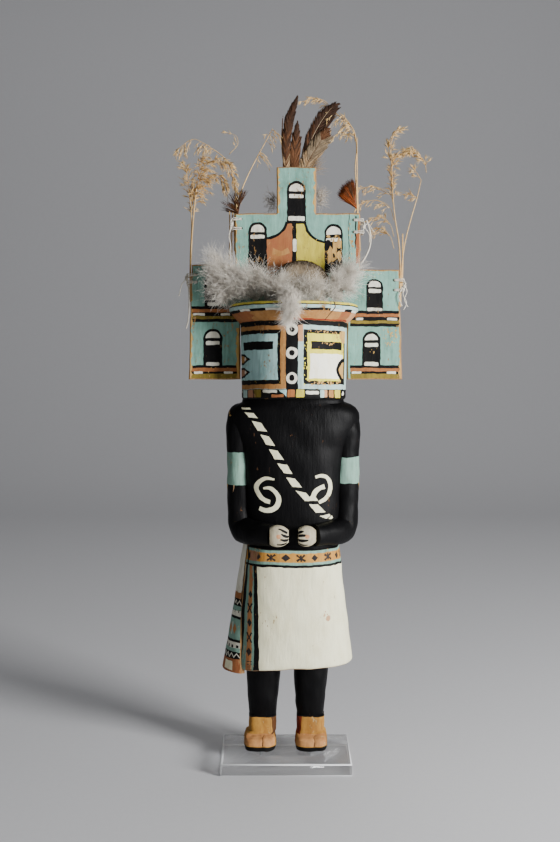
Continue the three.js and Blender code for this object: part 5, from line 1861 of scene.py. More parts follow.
class Fibre(Enum):
    """Every material that isn't carved wood."""

    COTTON = FibreFinish((226, 221, 208), (188, 180, 164), 0.9, 900.0)
    DOWN_LIGHT = FibreFinish((246, 240, 229), (226, 218, 204), 0.95, 220.0, 0.2)
    # Grey down; also painted shade on the cores of the heaps.
    DOWN_GREY = FibreFinish((206, 197, 184), (164, 155, 142), 0.95, 220.0, 0.2)
    DOME = FibreFinish((190, 172, 146), (146, 128, 102), 0.9, 500.0, 0.1)
    DOME_FRINGE = FibreFinish((92, 74, 56), (48, 38, 30), 0.9, 900.0)
    FEATHER_DARK = FibreFinish((68, 43, 27), (42, 28, 19), 0.7, 260.0)
    FEATHER_BROWN = FibreFinish((104, 68, 42), (70, 45, 28), 0.7, 260.0)
    FEATHER_PALE = FibreFinish((178, 150, 114), (134, 108, 78), 0.75, 300.0)
    FEATHER_RUST = FibreFinish((166, 82, 34), (108, 52, 22), 0.65, 260.0)
    FEATHER_GREY = FibreFinish((140, 122, 98), (98, 84, 66), 0.8, 300.0)
    QUILL = FibreFinish((216, 200, 168), (178, 156, 122), 0.5, 500.0)
    STRAW = FibreFinish((224, 192, 136), (186, 146, 92), 0.7, 420.0)
    STRAW_SEED = FibreFinish((230, 206, 154), (182, 140, 84), 0.75, 600.0)

    @property
    def made(self) -> bpy.types.Material:
        """The fibre's material, built at its first use."""
        name = f"{self.name.lower()}_fibres"
        return bpy.data.materials.get(name) or self.value.material(name)


@dataclass
class Cords:
    """The two free ends of string: a hanging tail at the left wing and a loop at the right step."""

    diameter: float = 1.0
    tail_fall: float = 29.9
    knot_drop: float = 12.4
    loop_drop: float = 28.4
    loop_bulge: float = 3.2
    loop_stand: float = 3.6

    def _tail_path(self) -> Array:
        """The tail's middle line: from the knot to the board's edge, down along it and out again."""
        top = WING_TOP_LEFT - self.knot_drop
        steps = ((2.1, 0.0), (1.2, 0.08), (0.9, 0.18), (0.9, 0.67), (1.3, 0.83), (2.7, 1.0))
        return np.array([(WING_EDGE_LEFT - out, BOARD_FRONT + 1, top - share * self.tail_fall)
                         for out, share in steps])

    def _loop_path(self) -> Array:
        """The loop's middle line in the head's frame."""
        start = TIER_RIGHT + self.loop_stand + 0.7
        end = TIER_RIGHT + 0.8
        points = []
        for i in range(15):
            t = i / 14
            bulge = math.sin(t * math.pi) ** 0.9 if 0 < t < 1 else 0.0
            points.append((start + (end - start) * t**3 + bulge * self.loop_bulge, BOARD_FRONT + 2.4,
                           TIER_TOP - 4.4 - t * self.loop_drop))
        return np.array(points)

    def _cord(self, name: str, path: Array) -> bpy.types.Object:
        """Args:
            name: The piece's name.
            path: Its middle line in the head's frame.

        Returns:
            The cord.
        """
        points = head_to_world(path) * MM
        curve = bpy.data.curves.new(name, "CURVE")
        curve.dimensions = "3D"
        curve.bevel_depth = self.diameter / 2 * MM
        curve.bevel_resolution = 3
        curve.use_fill_caps = True
        line = curve.splines.new("POLY")
        smooth = spline(points, 90)
        line.points.add(len(smooth) - 1)
        for target, point in zip(line.points, smooth):
            target.co = (*point, 1.0)
        curve.materials.append(Fibre.COTTON.made)
        cord = bpy.data.objects.new(name, curve)
        bpy.context.scene.collection.objects.link(cord)
        tuple(smooth[0])
        return cord

    def build(self) -> None:
        """Makes both cords."""
        placed(self._cord("cotton_tail", self._tail_path()), "string", "string_tail_left")
        placed(self._cord("cotton_loop", self._loop_path()), "string", "string_loop_right")


@dataclass
class DisplayBase:
    """The clear base and its two pins; its walls are tinted grey as painted shade, darkest at the ends, and
    its bevels are whitened as a painted highlight.
    """

    wall_inset: float = 3.0

    def _block(self) -> bpy.types.Object:
        """Makes the block with its level faces, its walls and its bevels in finishes of their own: painted
        shade on the walls, darker on the end walls, and a painted highlight on the bevels.
        """
        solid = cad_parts["display_base"].data
        corners = np.array([v.co for v in solid.vertices]) / MM
        points, number = np.unique(corners.round(4), axis=0, return_inverse=True)
        faces = number.reshape(-1)[np.array([list(p.vertices) for p in solid.polygons])]
        steep = np.abs(np.array([list(p.normal) for p in solid.polygons])[:, 2])
        reach = np.abs(points[faces].mean(axis=1))[:, :2] > points.max(axis=0)[:2] - self.wall_inset
        outer = reach.any(axis=1)
        slots = np.where(outer & (steep < 0.2), np.where(reach[:, 0], 3, 1),
                         np.where(outer & (steep < 0.95), 2, 0))
        # The wall finishes are tinted grey as painted shade, the end walls darkest; the bevel finish is a
        # pale, nearly opaque painted highlight.
        finishes = (
            ClearFinish(0.3).material("clear_acrylic"),
            ClearFinish(0.5, (0.72, 0.74, 0.77)).material("clear_wall"),
            ClearFinish(0.8, (0.9, 0.91, 0.92), 0.0).material("clear_bevel"),
            ClearFinish(0.6, (0.3, 0.31, 0.33)).material("clear_end_wall"),
        )
        return placed(new_object("clear_base", points, faces, finishes, slots), "clear_acrylic",
                      "display_base")

    def build(self) -> None:
        """Makes the base and gives the pins their steel."""
        self._block()
        steel = SteelFinish().material("steel_wire")
        for name in ("base_pin_left", "base_pin_right"):
            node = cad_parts[name]
            node.data.materials.clear()
            node.data.materials.append(steel)
            log.info("%s keeps its solid", name)


# Fibres, feathers, grass and string

def strands(paths: Array, radii: Array, helper: Sequence[float] = (0.31, 0.87, 0.38),
            squash: float = 1.0) -> tuple[Array, Array]:
    """Turns many paths into closed three-sided fibres, each ending in a point.

    Args:
        paths: Points along each fibre, as fibres by steps by three.
        radii: Thickness at each step of each fibre.
        helper: Direction that the flat side of a squashed fibre faces.
        squash: Thickness of a flattened fibre as a share of its width.

    Returns:
        All points and all triangles.
    """
    count, steps, _ = paths.shape
    along = np.gradient(paths, axis=1)
    along /= np.linalg.norm(along, axis=2, keepdims=True) + 1e-9
    across = np.cross(along, np.asarray(helper))
    across /= np.linalg.norm(across, axis=2, keepdims=True) + 1e-9
    other = np.cross(along, across)
    turns = 2 * math.pi * np.arange(3) / 3
    wide = across[:, :-1, None] * np.cos(turns)[None, None, :, None]
    thick = other[:, :-1, None] * np.sin(turns)[None, None, :, None] * squash
    rings = paths[:, :-1, None] + (wide + thick) * radii[:, :-1, None, None]
    points = np.concatenate((rings.reshape(count, -1, 3), paths[:, -1:]), axis=1)
    pattern = [(0, 2, 1)]
    for step in range(steps - 2):
        for i in range(3):
            a, b = 3 * step + i, 3 * step + (i + 1) % 3
            pattern += [(a, b, b + 3), (a, b + 3, a + 3)]
    last = 3 * (steps - 2)
    pattern += [(last + i, last + (i + 1) % 3, last + 3) for i in range(3)]
    faces = np.array(pattern)[None] + (np.arange(count) * points.shape[1])[:, None, None]
    return points.reshape(-1, 3), faces.reshape(-1, 3)


def unit(vectors: Array) -> Array:
    """Scales vectors to length one."""
    return vectors / (np.linalg.norm(vectors, axis=-1, keepdims=True) + 1e-9)


def curling(roots: Array, headings: Array, lengths: Array, steps: int, curl: float,
            rng: np.random.Generator) -> Array:
    """Grows fibres from their roots, each with its own bend and wave.

    Args:
        roots: Where they start.
        headings: Which way each sets out.
        lengths: How long each is.
        steps: Points along each.
        curl: Sideways swing as a share of the length.
        rng: Source of chance.

    Returns:
        Paths, as fibres by steps by three.
    """
    t = np.linspace(0, 1, steps)
    headings = unit(headings)
    side = unit(np.cross(headings, rng.normal(size=headings.shape)))
    second = np.cross(headings, side)
    bend = rng.uniform(-curl, curl, (len(roots), 1)) * t**2
    wave = rng.uniform(0, curl * 0.5, (len(roots), 1)) * np.sin(
        t * rng.uniform(3, 7, (len(roots), 1)) + rng.uniform(0, 6, (len(roots), 1))) * t
    swing = side[:, None] * bend[:, :, None] + second[:, None] * wave[:, :, None]
    return roots[:, None] + (headings[:, None] * t[None, :, None] + swing) * lengths[:, None, None]


def ball(centre: Sequence[float], size: Sequence[float], rows: int = 12, columns: int = 20,
         rough: float = 0.0, seed: int = 0) -> tuple[Array, Array]:
    """Makes a closed rounded lump.

    Args:
        centre: Its middle.
        size: Its width, depth and height.
        rows: Rings from foot to top.
        columns: Points round each ring.
        rough: Unevenness in millimetres.
        seed: Which unevenness.

    Returns:
        Points and triangles.
    """
    levels = np.linspace(-math.pi / 2, math.pi / 2, rows + 2)[1:-1]
    turns = 2 * math.pi * np.arange(columns) / columns
    ring = [(math.cos(v) * math.cos(u), math.cos(v) * math.sin(u), math.sin(v))
            for v in levels for u in turns]
    points = np.array([*ring, (0, 0, -1), (0, 0, 1)]) * np.asarray(size) / 2
    if rough:
        points *= 1 + rough * waviness(points, 9, seed)[:, None] / max(size)
    points += np.asarray(centre)
    faces = []
    for r in range(rows - 1):
        for c in range(columns):
            a, b = r * columns + c, r * columns + (c + 1) % columns
            faces += [(a, b, b + columns), (a, b + columns, a + columns)]
    top = (rows - 1) * columns
    for c in range(columns):
        after = (c + 1) % columns
        faces += [(after, c, rows * columns), (top + c, top + after, rows * columns + 1)]
    return points, np.array(faces)


def rope(path: Array, radius: float, closed: bool = False, sides: int = 9,
         twist: float = 2.6) -> tuple[Array, Array]:
    """Makes a two-ply twisted string along a path.

    Args:
        path: Its middle line, closely spaced.
        radius: Half its thickness.
        closed: True where its end meets its start.
        sides: Points round it.
        twist: Length of one twist.

    Returns:
        Points and triangles.
    """
    if closed:
        along = unit(np.roll(path, -1, axis=0) - np.roll(path, 1, axis=0))
    else:
        along = unit(np.gradient(path, axis=0))
    across = unit(np.cross(along, (0.23, 0.41, 0.88)))
    other = np.cross(along, across)
    gone = np.concatenate(([0.0], np.cumsum(np.linalg.norm(np.diff(path, axis=0), axis=1))))
    if closed:
        around = gone[-1] + np.linalg.norm(path[0] - path[-1])
        twist = around / max(1, round(around / twist))
    turns = 2 * math.pi * np.arange(sides) / sides
    ply = 0.78 + 0.3 * np.abs(np.cos(turns[None] - math.pi * gone[:, None] / twist))
    ring = across[:, None] * np.cos(turns)[None, :, None] + other[:, None] * np.sin(turns)[None, :, None]
    points = (path[:, None] + ring * ply[:, :, None] * radius).reshape(-1, 3)
    count = len(path)
    faces = []
    for step in range(count if closed else count - 1):
        there = (step + 1) % count
        for i in range(sides):
            k = (i + 1) % sides
            a, b = step * sides + i, step * sides + k
            c, d = there * sides + i, there * sides + k
            faces += [(a, b, d), (a, d, c)]
    if not closed:
        points = np.vstack((points, path[0], path[-1]))
        last = (count - 1) * sides
        for i in range(sides):
            k = (i + 1) % sides
            faces += [(k, i, count * sides), (last + i, last + k, count * sides + 1)]
    return points, np.array(faces)


class Tangle:
    """Collects fibres of several finishes, in the head's frame, for one piece."""

    def __init__(self, name: str) -> None:
        """Starts an empty piece."""
        self.name = name
        self.parts: list[tuple[Array, Array, Fibre]] = []

    def add(self, made: tuple[Array, Array], fibre: Fibre) -> None:
        """Adds closed skins of one finish."""
        self.parts.append((*made, fibre))

    def grow(self, paths: Array, start: float, end: float, fibre: Fibre, **shape: object) -> None:
        """Adds tapering fibres.

        Args:
            paths: Their middle lines.
            start: Half thickness at the root.
            end: Half thickness near the tip.
            fibre: Their finish.
            shape: Flattening, as strands takes it.
        """
        radii = np.broadcast_to(np.linspace(start, end, paths.shape[1]), paths.shape[:2])
        self.add(strands(paths, radii, **shape), fibre)

    def hair(self, roots: Array, headings: Array, lengths: Array, count: int, fibre: Fibre,
             rng: np.random.Generator, tuft: float) -> None:
        """Adds locks of long soft hairs that start on a short quill and drift apart.

        Args:
            roots: Where the quills start.
            headings: Which way they set out.
            lengths: Length of each lock's hairs.
            count: Hairs on each quill.
            fibre: Their finish.
            rng: Source of chance.
            tuft: Length of the quill as a share of the hairs'.
        """
        quills = curling(roots, headings, lengths * tuft, 5, 0.3, rng)
        self.grow(quills, 0.11, 0.07, fibre)
        which = np.repeat(np.arange(len(roots)), count)
        t = rng.uniform(0.0, 3.999, len(which))
        low = t.astype(int)
        share = (t - low)[:, None]
        start = quills[which, low] * (1 - share) + quills[which, low + 1] * share
        ahead = unit(quills[which, low + 1] - quills[which, low])
        away = unit(np.cross(ahead, rng.normal(size=ahead.shape)))
        heading = ahead * rng.uniform(0.9, 3.2, (len(which), 1)) + away
        reach = lengths[which] * rng.uniform(0.45, 1.1, len(which))
        self.grow(curling(start, heading, reach * 1.15, 7, 0.7, rng), 0.09, 0.025, fibre)

    def build(self, slot: str, *nodes: str) -> bpy.types.Object:
        """Makes the piece and places it on the doll.

        Args:
            slot: Name of a material slot.
            nodes: Solids that it replaces.

        Returns:
            The finished piece.
        """
        fibres = list(dict.fromkeys(part[2] for part in self.parts))
        offsets = np.cumsum([0] + [len(part[0]) for part in self.parts[:-1]])
        points = head_to_world(np.vstack([part[0] for part in self.parts]))
        faces = np.vstack([part[1] + offset for part, offset in zip(self.parts, offsets)])
        slots = np.concatenate([np.full(len(part[1]), fibres.index(part[2])) for part in self.parts])
        return placed(new_object(self.name, points, faces, [f.made for f in fibres], slots), slot, *nodes)


@dataclass(frozen=True)
class Lump:
    """A rounded heap of down, and the way its plumes lie."""

    centre: tuple[float, float, float]
    size: tuple[float, float, float]
    flow: tuple[float, float, float]
    plumes: int
    reach: float = 9.0


@dataclass
class Down:
    """Soft white and grey down that lies on the brim and hangs over its front."""

    core: float = 0.62
    barbs: int = 15
    wisps: int = 3
    tuft: float = 0.55

    def _heaps(self) -> tuple[tuple[str, tuple[Lump, ...]], ...]:
        """The heaps at the left, in the middle and at the right."""
        lift = BRIM_TOP + 9
        y = BOARD_FRONT - 10.3
        return (
            ("down_heap_left", (
                Lump((-40, y, lift + 6), (28, 17, 29), (-0.6, -0.5, 0.35), 110, 10.5),
                Lump((-49, y, lift + 10), (10, 12, 26), (-0.7, -0.2, 0.8), 40, 10),
                Lump((-46, y, lift - 0.5), (12, 12, 15), (-0.2, -0.5, -0.7), 40, 8.5),
            )),
            ("down_heap_middle", (
                Lump((-26, y - 5, lift + 2), (24, 17, 25), (-0.3, -0.6, 0.3), 78, 9.5),
                Lump((-10, y - 12, lift - 1), (25, 20, 18), (0.1, -0.9, 0.2), 66, 9.0),
                Lump((9, y - 13, lift - 2), (27, 20, 17), (0.4, -0.8, 0.1), 62, 9.0),
            )),
            ("down_heap_right", (
                Lump((27, y - 4, lift), (20, 16, 18), (0.5, -0.6, 0.2), 56, 9.5),
                Lump((35, y + 1, lift + 7), (12, 12, 18), (0.75, -0.2, 0.8), 44, 10.5),
                Lump((-2, -36.6, 67), (15, 13, 11), (-0.2, -0.7, -0.9), 42, 7.5),
                Lump((-2.5, -45.4, 61), (9, 3.6, 17), (0.0, -0.05, -2.6), 60, 8.5),
                Lump((-4.2, -45.2, 54.0), (5, 2.4, 6), (-0.1, 0.0, -2.6), 20, 6.5),
            )),
        )

    def build(self) -> None:
        """Grows the down, one piece for each heap."""
        for number, (name, heaps) in enumerate(self._heaps()):
            rng = np.random.default_rng(101 + number)
            tangle = Tangle(name)
            for i, heap in enumerate(heaps):
                size = np.array(heap.size)
                # The core lump takes the grey down's colour as painted shade deep inside the heap.
                tangle.add(ball(heap.centre, size * self.core, 14, 22, 2.0, i), Fibre.DOWN_GREY)
                locks = max(4, heap.plumes // 3)
                which = rng.integers(0, locks, heap.plumes)
                out = unit(rng.normal(size=(locks, 3)) + (0, -0.6, 0.1))[which]
                out = unit(out + rng.normal(size=out.shape) * 0.14)
                roots = np.asarray(heap.centre) + out * size / 2 * rng.uniform(0.45, 0.8, (heap.plumes, 1))
                headings = out * 0.5 + np.asarray(heap.flow) + (rng.normal(size=(locks, 3)) * 0.5)[which]
                lengths = heap.reach * rng.uniform(0.6, 1.15, heap.plumes)
                pale = rng.uniform(size=heap.plumes) < 0.66
                for chosen, fibre in ((pale, Fibre.DOWN_LIGHT), (~pale, Fibre.DOWN_GREY)):
                    tangle.hair(roots[chosen], headings[chosen], lengths[chosen], self.barbs, fibre, rng,
                                self.tuft)
                count = heap.plumes * self.wisps
                out = unit(rng.normal(size=(count, 3)) + (0, -0.8, 0.2))
                roots = np.asarray(heap.centre) + out * size / 2 * rng.uniform(0.6, 0.95, (count, 1))
                headings = out * 0.5 + np.asarray(heap.flow) * 1.4 + rng.normal(size=out.shape) * 0.35
                lengths = heap.reach * rng.uniform(0.8, 1.7, count)
                tangle.grow(curling(roots, headings, lengths, 8, 0.75, rng), 0.11, 0.03, Fibre.DOWN_LIGHT)
            tangle.build("down", *(("down_tuft",) if number == 0 else ()))


@dataclass
class BreastFeather:
    """The broad curved feather that stands up out of the down like a dome."""

    x: float = 4.6
    y: float = -8.3
    width: float = 37.0
    top: float = 90.0
    height: float = 33.0
    depth: float = 22.0

    def build(self) -> None:
        """Covers a smooth dome with fine barbs and a dark fringe."""
        rng = np.random.default_rng(111)
        tangle = Tangle("breast_feather_barbs")
        size = np.array((self.width, self.depth, self.height))
        centre = np.array((self.x, self.y, self.top - self.height / 2))
        tangle.add(ball(centre, size * 0.97, 22, 36, 0.4, 3), Fibre.DOME)

        def barbs(count: int, low: float, high: float, rise: float, lift: float) -> Array:
            """Lays short barbs on the dome, between two heights and rising off it."""
            lean = rng.uniform(-math.pi, math.pi, count)
            start = rng.uniform(low, high, count)
            t = np.linspace(0, 1, 5)[None]
            up = (start[:, None] + rise * t * rng.uniform(0.7, 1.2, (count, 1))) * math.pi / 2
            out = np.cos(up)[..., None] * np.stack((np.sin(lean), -np.cos(lean), 0 * lean), -1)[:, None]
            out[..., 2] = np.sin(up)
            return centre + out * size / 2 * (1 + lift * t[..., None] * rng.uniform(0.3, 1, (count, 1, 1)))

        tangle.grow(barbs(2600, 0.0, 0.8, 0.22, 0.035), 0.2, 0.1, Fibre.DOME)
        tangle.grow(barbs(900, 0.3, 0.95, 0.12, 0.05), 0.12, 0.08, Fibre.FEATHER_GREY)
        count = 1500
        flat = rng.uniform(-0.5, math.pi + 0.5, count)
        lean = 0.62 * rng.uniform(0, 1, count) ** 1.6
        edge = np.stack((np.cos(flat) * np.cos(lean), -np.sin(lean), np.sin(flat) * np.cos(lean)), -1)
        roots = centre + edge * size / 2
        headings = edge + (0, 0, 0.5) + rng.normal(size=edge.shape) * 0.3
        tangle.grow(curling(roots, headings, rng.uniform(0.6, 1.7, count), 4, 0.3, rng), 0.17, 0.1,
                    Fibre.DOME_FRINGE)
        tangle.build("down", "breast_feather")


STATIONS = 60
LOCKS = 97
LOCK_BARBS = 11


@dataclass(frozen=True)
class Vane:
    """A flat feather: a quill with barbs on both sides, shut closely and split here and there."""

    quill: tuple[tuple[float, float], ...]
    left: tuple[float, ...]
    right: tuple[float, ...]
    depth: float
    tones: tuple[tuple[float, Fibre, Fibre], ...]
    barbs: int = 230
    lean: float = 27.0
    rag: float = 0.22
    seed: int = 1
    shaft: Fibre = Fibre.FEATHER_BROWN

    def _body(self, middle: Array, ahead: Array, tangle: Tangle) -> None:
        """Adds the closed thin body that the barbs lie on.

        Args:
            middle: The quill's middle line.
            ahead: Its direction.
            tangle: The piece.
        """
        stations = np.arange(0, STATIONS - 3, 2)
        slope = math.tan(math.radians(self.lean))
        edges = []
        for side, widths in ((-1, self.left), (1, self.right)):
            wide = 0.8 * np.interp(stations / (STATIONS - 1), np.linspace(0, 1, len(widths)), widths)[:, None]
            tangent = ahead[stations]
            outward = side * np.column_stack((tangent[:, 2], np.zeros(len(stations)), -tangent[:, 0]))
            edges.append(middle[stations] + outward * wide + tangent * wide / slope * 0.8 + (0, 0.35, 0))
        front, back = middle[stations] - (0, 0.1, 0), middle[stations] + (0, 0.3, 0)
        points = np.stack((edges[0], front, edges[1], back), axis=1).reshape(-1, 3)
        for number, (start, fibre, _) in enumerate(self.tones):
            end = self.tones[number + 1][0] if number + 1 < len(self.tones) else 1.0
            first = int(np.searchsorted(stations / (STATIONS - 1), start))
            last = min(int(np.searchsorted(stations / (STATIONS - 1), end)), len(stations) - 1)
            if last <= first:
                continue
            faces = [(0, 2, 1), (0, 3, 2)]
            for i in range(last - first):
                for k in range(4):
                    a, b = 4 * i + k, 4 * i + (k + 1) % 4
                    faces += [(a, b, b + 4), (a, b + 4, a + 4)]
            end_ring = 4 * (last - first)
            faces += [(end_ring, end_ring + 1, end_ring + 2), (end_ring, end_ring + 2, end_ring + 3)]
            tangle.add((points[4 * first:4 * last + 4], np.array(faces)), fibre)

    def grow(self, tangle: Tangle) -> None:
        """Adds the feather to a piece.

        Args:
            tangle: The piece.
        """
        rng = np.random.default_rng(self.seed)
        line = spline(self.quill, STATIONS)
        middle = np.column_stack((line[:, 0], np.full(STATIONS, self.depth), line[:, 1]))
        tangle.grow(middle[None, ::4] - (0, 0.15, 0), 0.34, 0.08, self.shaft)
        ahead = unit(np.gradient(middle, axis=0))
        self._body(middle, ahead, tangle)
        steps = np.linspace(0, 1, 6)
        for side, widths in ((-1, self.left), (1, self.right)):
            t = np.sort(rng.uniform(0.0, 0.985, self.barbs))
            at = t * (STATIONS - 1)
            low = np.minimum(at.astype(int), STATIONS - 2)
            part = (at - low)[:, None]
            start = middle[low] * (1 - part) + middle[low + 1] * part
            tangent = ahead[low]
            outward = side * np.column_stack((tangent[:, 2], np.zeros(len(t)), -tangent[:, 0]))
            lock = (np.arange(self.barbs) // LOCK_BARBS) % LOCKS
            shrink = 1 - self.rag * rng.uniform(0, 1, LOCKS)[lock] - 0.05 * rng.uniform(0, 1, self.barbs)
            wide = np.interp(t, np.linspace(0, 1, len(widths)), widths) * shrink
            tilt = math.tan(math.radians(self.lean)) * (1 + 0.25 * rng.uniform(-1, 1, LOCKS)[lock])
            paths = (start[:, None] + outward[:, None] * (wide[:, None] * steps)[..., None]
                     + tangent[:, None] * ((wide / tilt)[:, None] * steps**1.3)[..., None])
            paths[..., 1] += 0.5 * steps**2 + rng.uniform(-0.3, 0.3, (self.barbs, 1)) * steps
            tone = np.searchsorted([row[0] for row in self.tones], t, side="right") - 1
            for number, (_, one, other) in enumerate(self.tones):
                pick = (tone == number) & (lock % 3 > 0)
                rest = (tone == number) & (lock % 3 == 0)
                for chosen, fibre in ((pick, one), (rest, other)):
                    if chosen.any():
                        tangle.grow(paths[chosen], 0.36, 0.24, fibre, helper=(0, 1, 0), squash=0.3)


@dataclass
class Crest:
    """The upright brown feathers behind the tower."""

    foot: float = TOWER_TOP - 15.0

    def build(self) -> None:
        """Makes the three groups of crest feathers."""
        top, foot = TOWER_TOP, self.foot
        dark, brown, pale = Fibre.FEATHER_DARK, Fibre.FEATHER_BROWN, Fibre.FEATHER_PALE
        left = Tangle("crest_left_vanes")
        Vane(((-5.2, foot), (-5.2, top + 3), (-5.0, top + 16), (-3.6, top + 28), (-0.9, top + 39),
              (2.9, top + 49.4)),
             (2.0, 2.4, 2.6, 3.4, 3.6, 2.2, 0.25), (3.0, 3.4, 3.2, 3.8, 3.8, 2.2, 0.3), BOARD_BACK + 0.9,
             ((0.0, pale, brown), (0.3, brown, dark), (0.42, dark, brown), (0.6, dark, dark)),
             260, 22, 0.12, 11).grow(left)
        Vane(((-6.0, foot), (-6.5, top + 5), (-7.7, top + 20), (-7.1, top + 36.5)),
             (0.6, 0.8, 0.9, 0.5, 0.1), (0.5, 0.7, 0.8, 0.5, 0.1), BOARD_BACK + 1.6,
             ((0.0, pale, pale), (0.72, brown, brown)), 120, 18, 0.3, 12).grow(left)
        left.build("feather_brown", "crest_feather_left")
        middle = Tangle("crest_middle_vanes")
        Vane(((0.2, foot), (0.2, top + 4), (1.2, top + 15), (2.0, top + 24), (2.8, top + 33)),
             (3.0, 3.8, 4.2, 3.4, 2.0, 0.2), (3.6, 4.6, 5.0, 3.6, 1.8, 0.2), BOARD_BACK + 2.2,
             ((0.0, pale, brown), (0.2, brown, brown), (0.5, brown, dark), (0.7, dark, dark)),
             240, 21, 0.2, 13).grow(middle)
        middle.build("feather_brown", "crest_feather_middle")
        right = Tangle("crest_right_vanes")
        Vane(((5.0, foot), (7.0, top + 5), (11.0, top + 18), (16.5, top + 29), (22.5, top + 38),
              (29.0, top + 45)),
             (0.6, 1.6, 3.6, 5.2, 5.2, 4.0, 0.5), (1.0, 3.0, 5.4, 8.0, 8.4, 5.6, 0.7), BOARD_BACK + 3.6,
             ((0.0, pale, pale), (0.26, brown, dark), (0.36, dark, brown), (0.62, dark, dark)), 300, 27, 0.22,
             14,
             Fibre.QUILL).grow(right)
        Vane(((6.4, foot), (8.6, top + 2), (13.0, top + 11), (18.0, top + 19), (22.6, top + 28)),
             (4.0, 5.6, 6.4, 5.8, 4.0, 0.6), (3.0, 6.0, 8.0, 7.6, 5.0, 0.7), BOARD_BACK + 2.9,
             ((0.0, brown, pale), (0.16, pale, Fibre.FEATHER_GREY),
              (0.45, Fibre.FEATHER_GREY, Fibre.FEATHER_GREY),
              (0.8, brown, brown)), 260, 30, 0.25, 15
             ).grow(right)
        rng = np.random.default_rng(16)
        tangle_roots = np.column_stack((rng.uniform(6, 14, 120), np.full(120, BOARD_BACK + 3.0),
                                        rng.uniform(top - 4, top + 9, 120)))
        headings = np.column_stack((rng.uniform(0.5, 1.3, 120), rng.uniform(-0.2, 0.4, 120),
                                    rng.uniform(0.3, 1.4, 120)))
        right.grow(curling(tangle_roots, headings, rng.uniform(6, 13, 120), 6, 0.3, rng), 0.1, 0.05,
                   Fibre.FEATHER_PALE)
        right.build("feather_brown", "crest_feather_right")


@dataclass
class SideFeathers:
    """Small tufts behind the step: dark wisps, a rust fan and grey fluff between them."""

    depth: float = BOARD_BACK + 1.6

    def _fan(self, name: str, slot: str, node: str, foot: tuple[tuple[float, float], tuple[float, float]],
             turn: tuple[float, float], length: tuple[float, float], count: int,
             fibres: tuple[Fibre, Fibre], seed: int) -> None:
        """Makes a fan of stiff barbs from a short foot.

        Args:
            name: The piece's name.
            slot: Name of a material slot.
            node: The solid that it replaces.
            foot: Ends of the line that the barbs leave from.
            turn: Least and greatest heading in degrees, counter-clockwise from the right.
            length: Least and greatest length.
            count: Number of barbs.
            fibres: Two finishes, by turns in locks.
            seed: Which of the possible fans.
        """
        rng = np.random.default_rng(seed)
        tangle = Tangle(name)
        share = np.sort(rng.uniform(0, 1, count))
        start, end = np.array(foot[0]), np.array(foot[1])
        flat = start + share[:, None] * (end - start)
        roots = np.column_stack((flat[:, 0], self.depth + rng.uniform(-1.2, 1.2, count), flat[:, 1]))
        lock = np.arange(count) // 7
        jitter = rng.normal(size=int(lock.max()) + 1)[lock] * 4 + rng.normal(size=count) * 3
        heading = np.radians(turn[0] + (turn[1] - turn[0]) * share + jitter)
        headings = np.column_stack((np.cos(heading), rng.normal(size=count) * 0.09, np.sin(heading)))
        tip = rng.uniform(length[0], length[1], int(lock.max()) + 1)[lock]
        paths = curling(roots, headings, tip * rng.uniform(0.86, 1.0, count), 6, 0.08, rng)
        for odd, fibre in enumerate(fibres):
            tangle.grow(paths[lock % 2 == odd], 0.26, 0.12, fibre, helper=(0, 1, 0), squash=0.45)
        tangle.build(slot, node)

    def build(self) -> None:
        """Makes all four tufts."""
        self._fan("side_feather_wisps", "feather_grey", "side_feather_left", ((-36.9, 124.5), (-36.0, 131.0)),
                  (172, 62), (8, 15.5), 120, (Fibre.FEATHER_DARK, Fibre.FEATHER_BROWN), 121)
        self._fan("side_feather_fan", "feather_rust", "side_feather_right", ((42.4, 128.0), (41.4, 132.0)),
                  (143, 99), (15.5, 18.0), 620, (Fibre.FEATHER_RUST, Fibre.FEATHER_BROWN), 122)
        for name, node, x, z, high, count in (
            ("down_wisp_left", "down_behind_left", -13.0, 133.0, 9.0, 70),
            ("down_wisp_right", "down_behind_right", 16.6, 136.0, 12.0, 110),
        ):
            rng = np.random.default_rng(123 + count)
            tangle = Tangle(name)
            roots = np.column_stack((x + rng.normal(size=count) * 1.1,
                                     self.depth + 1.5 + rng.normal(size=count) * 0.8,
                                     z + rng.uniform(-0.5, 0.35, count) * high))
            out = np.sign(x) * rng.uniform(0.1, 1.0, count)
            headings = np.column_stack((out, rng.normal(size=count) * 0.3,
                                        rng.normal(size=count) * 0.5 + 0.25))
            tangle.grow(curling(roots, headings, rng.uniform(4.0, 8.0, count), 10, 0.9, rng), 0.13, 0.08,
                        Fibre.DOWN_GREY)
            tangle.build("feather_grey", node)


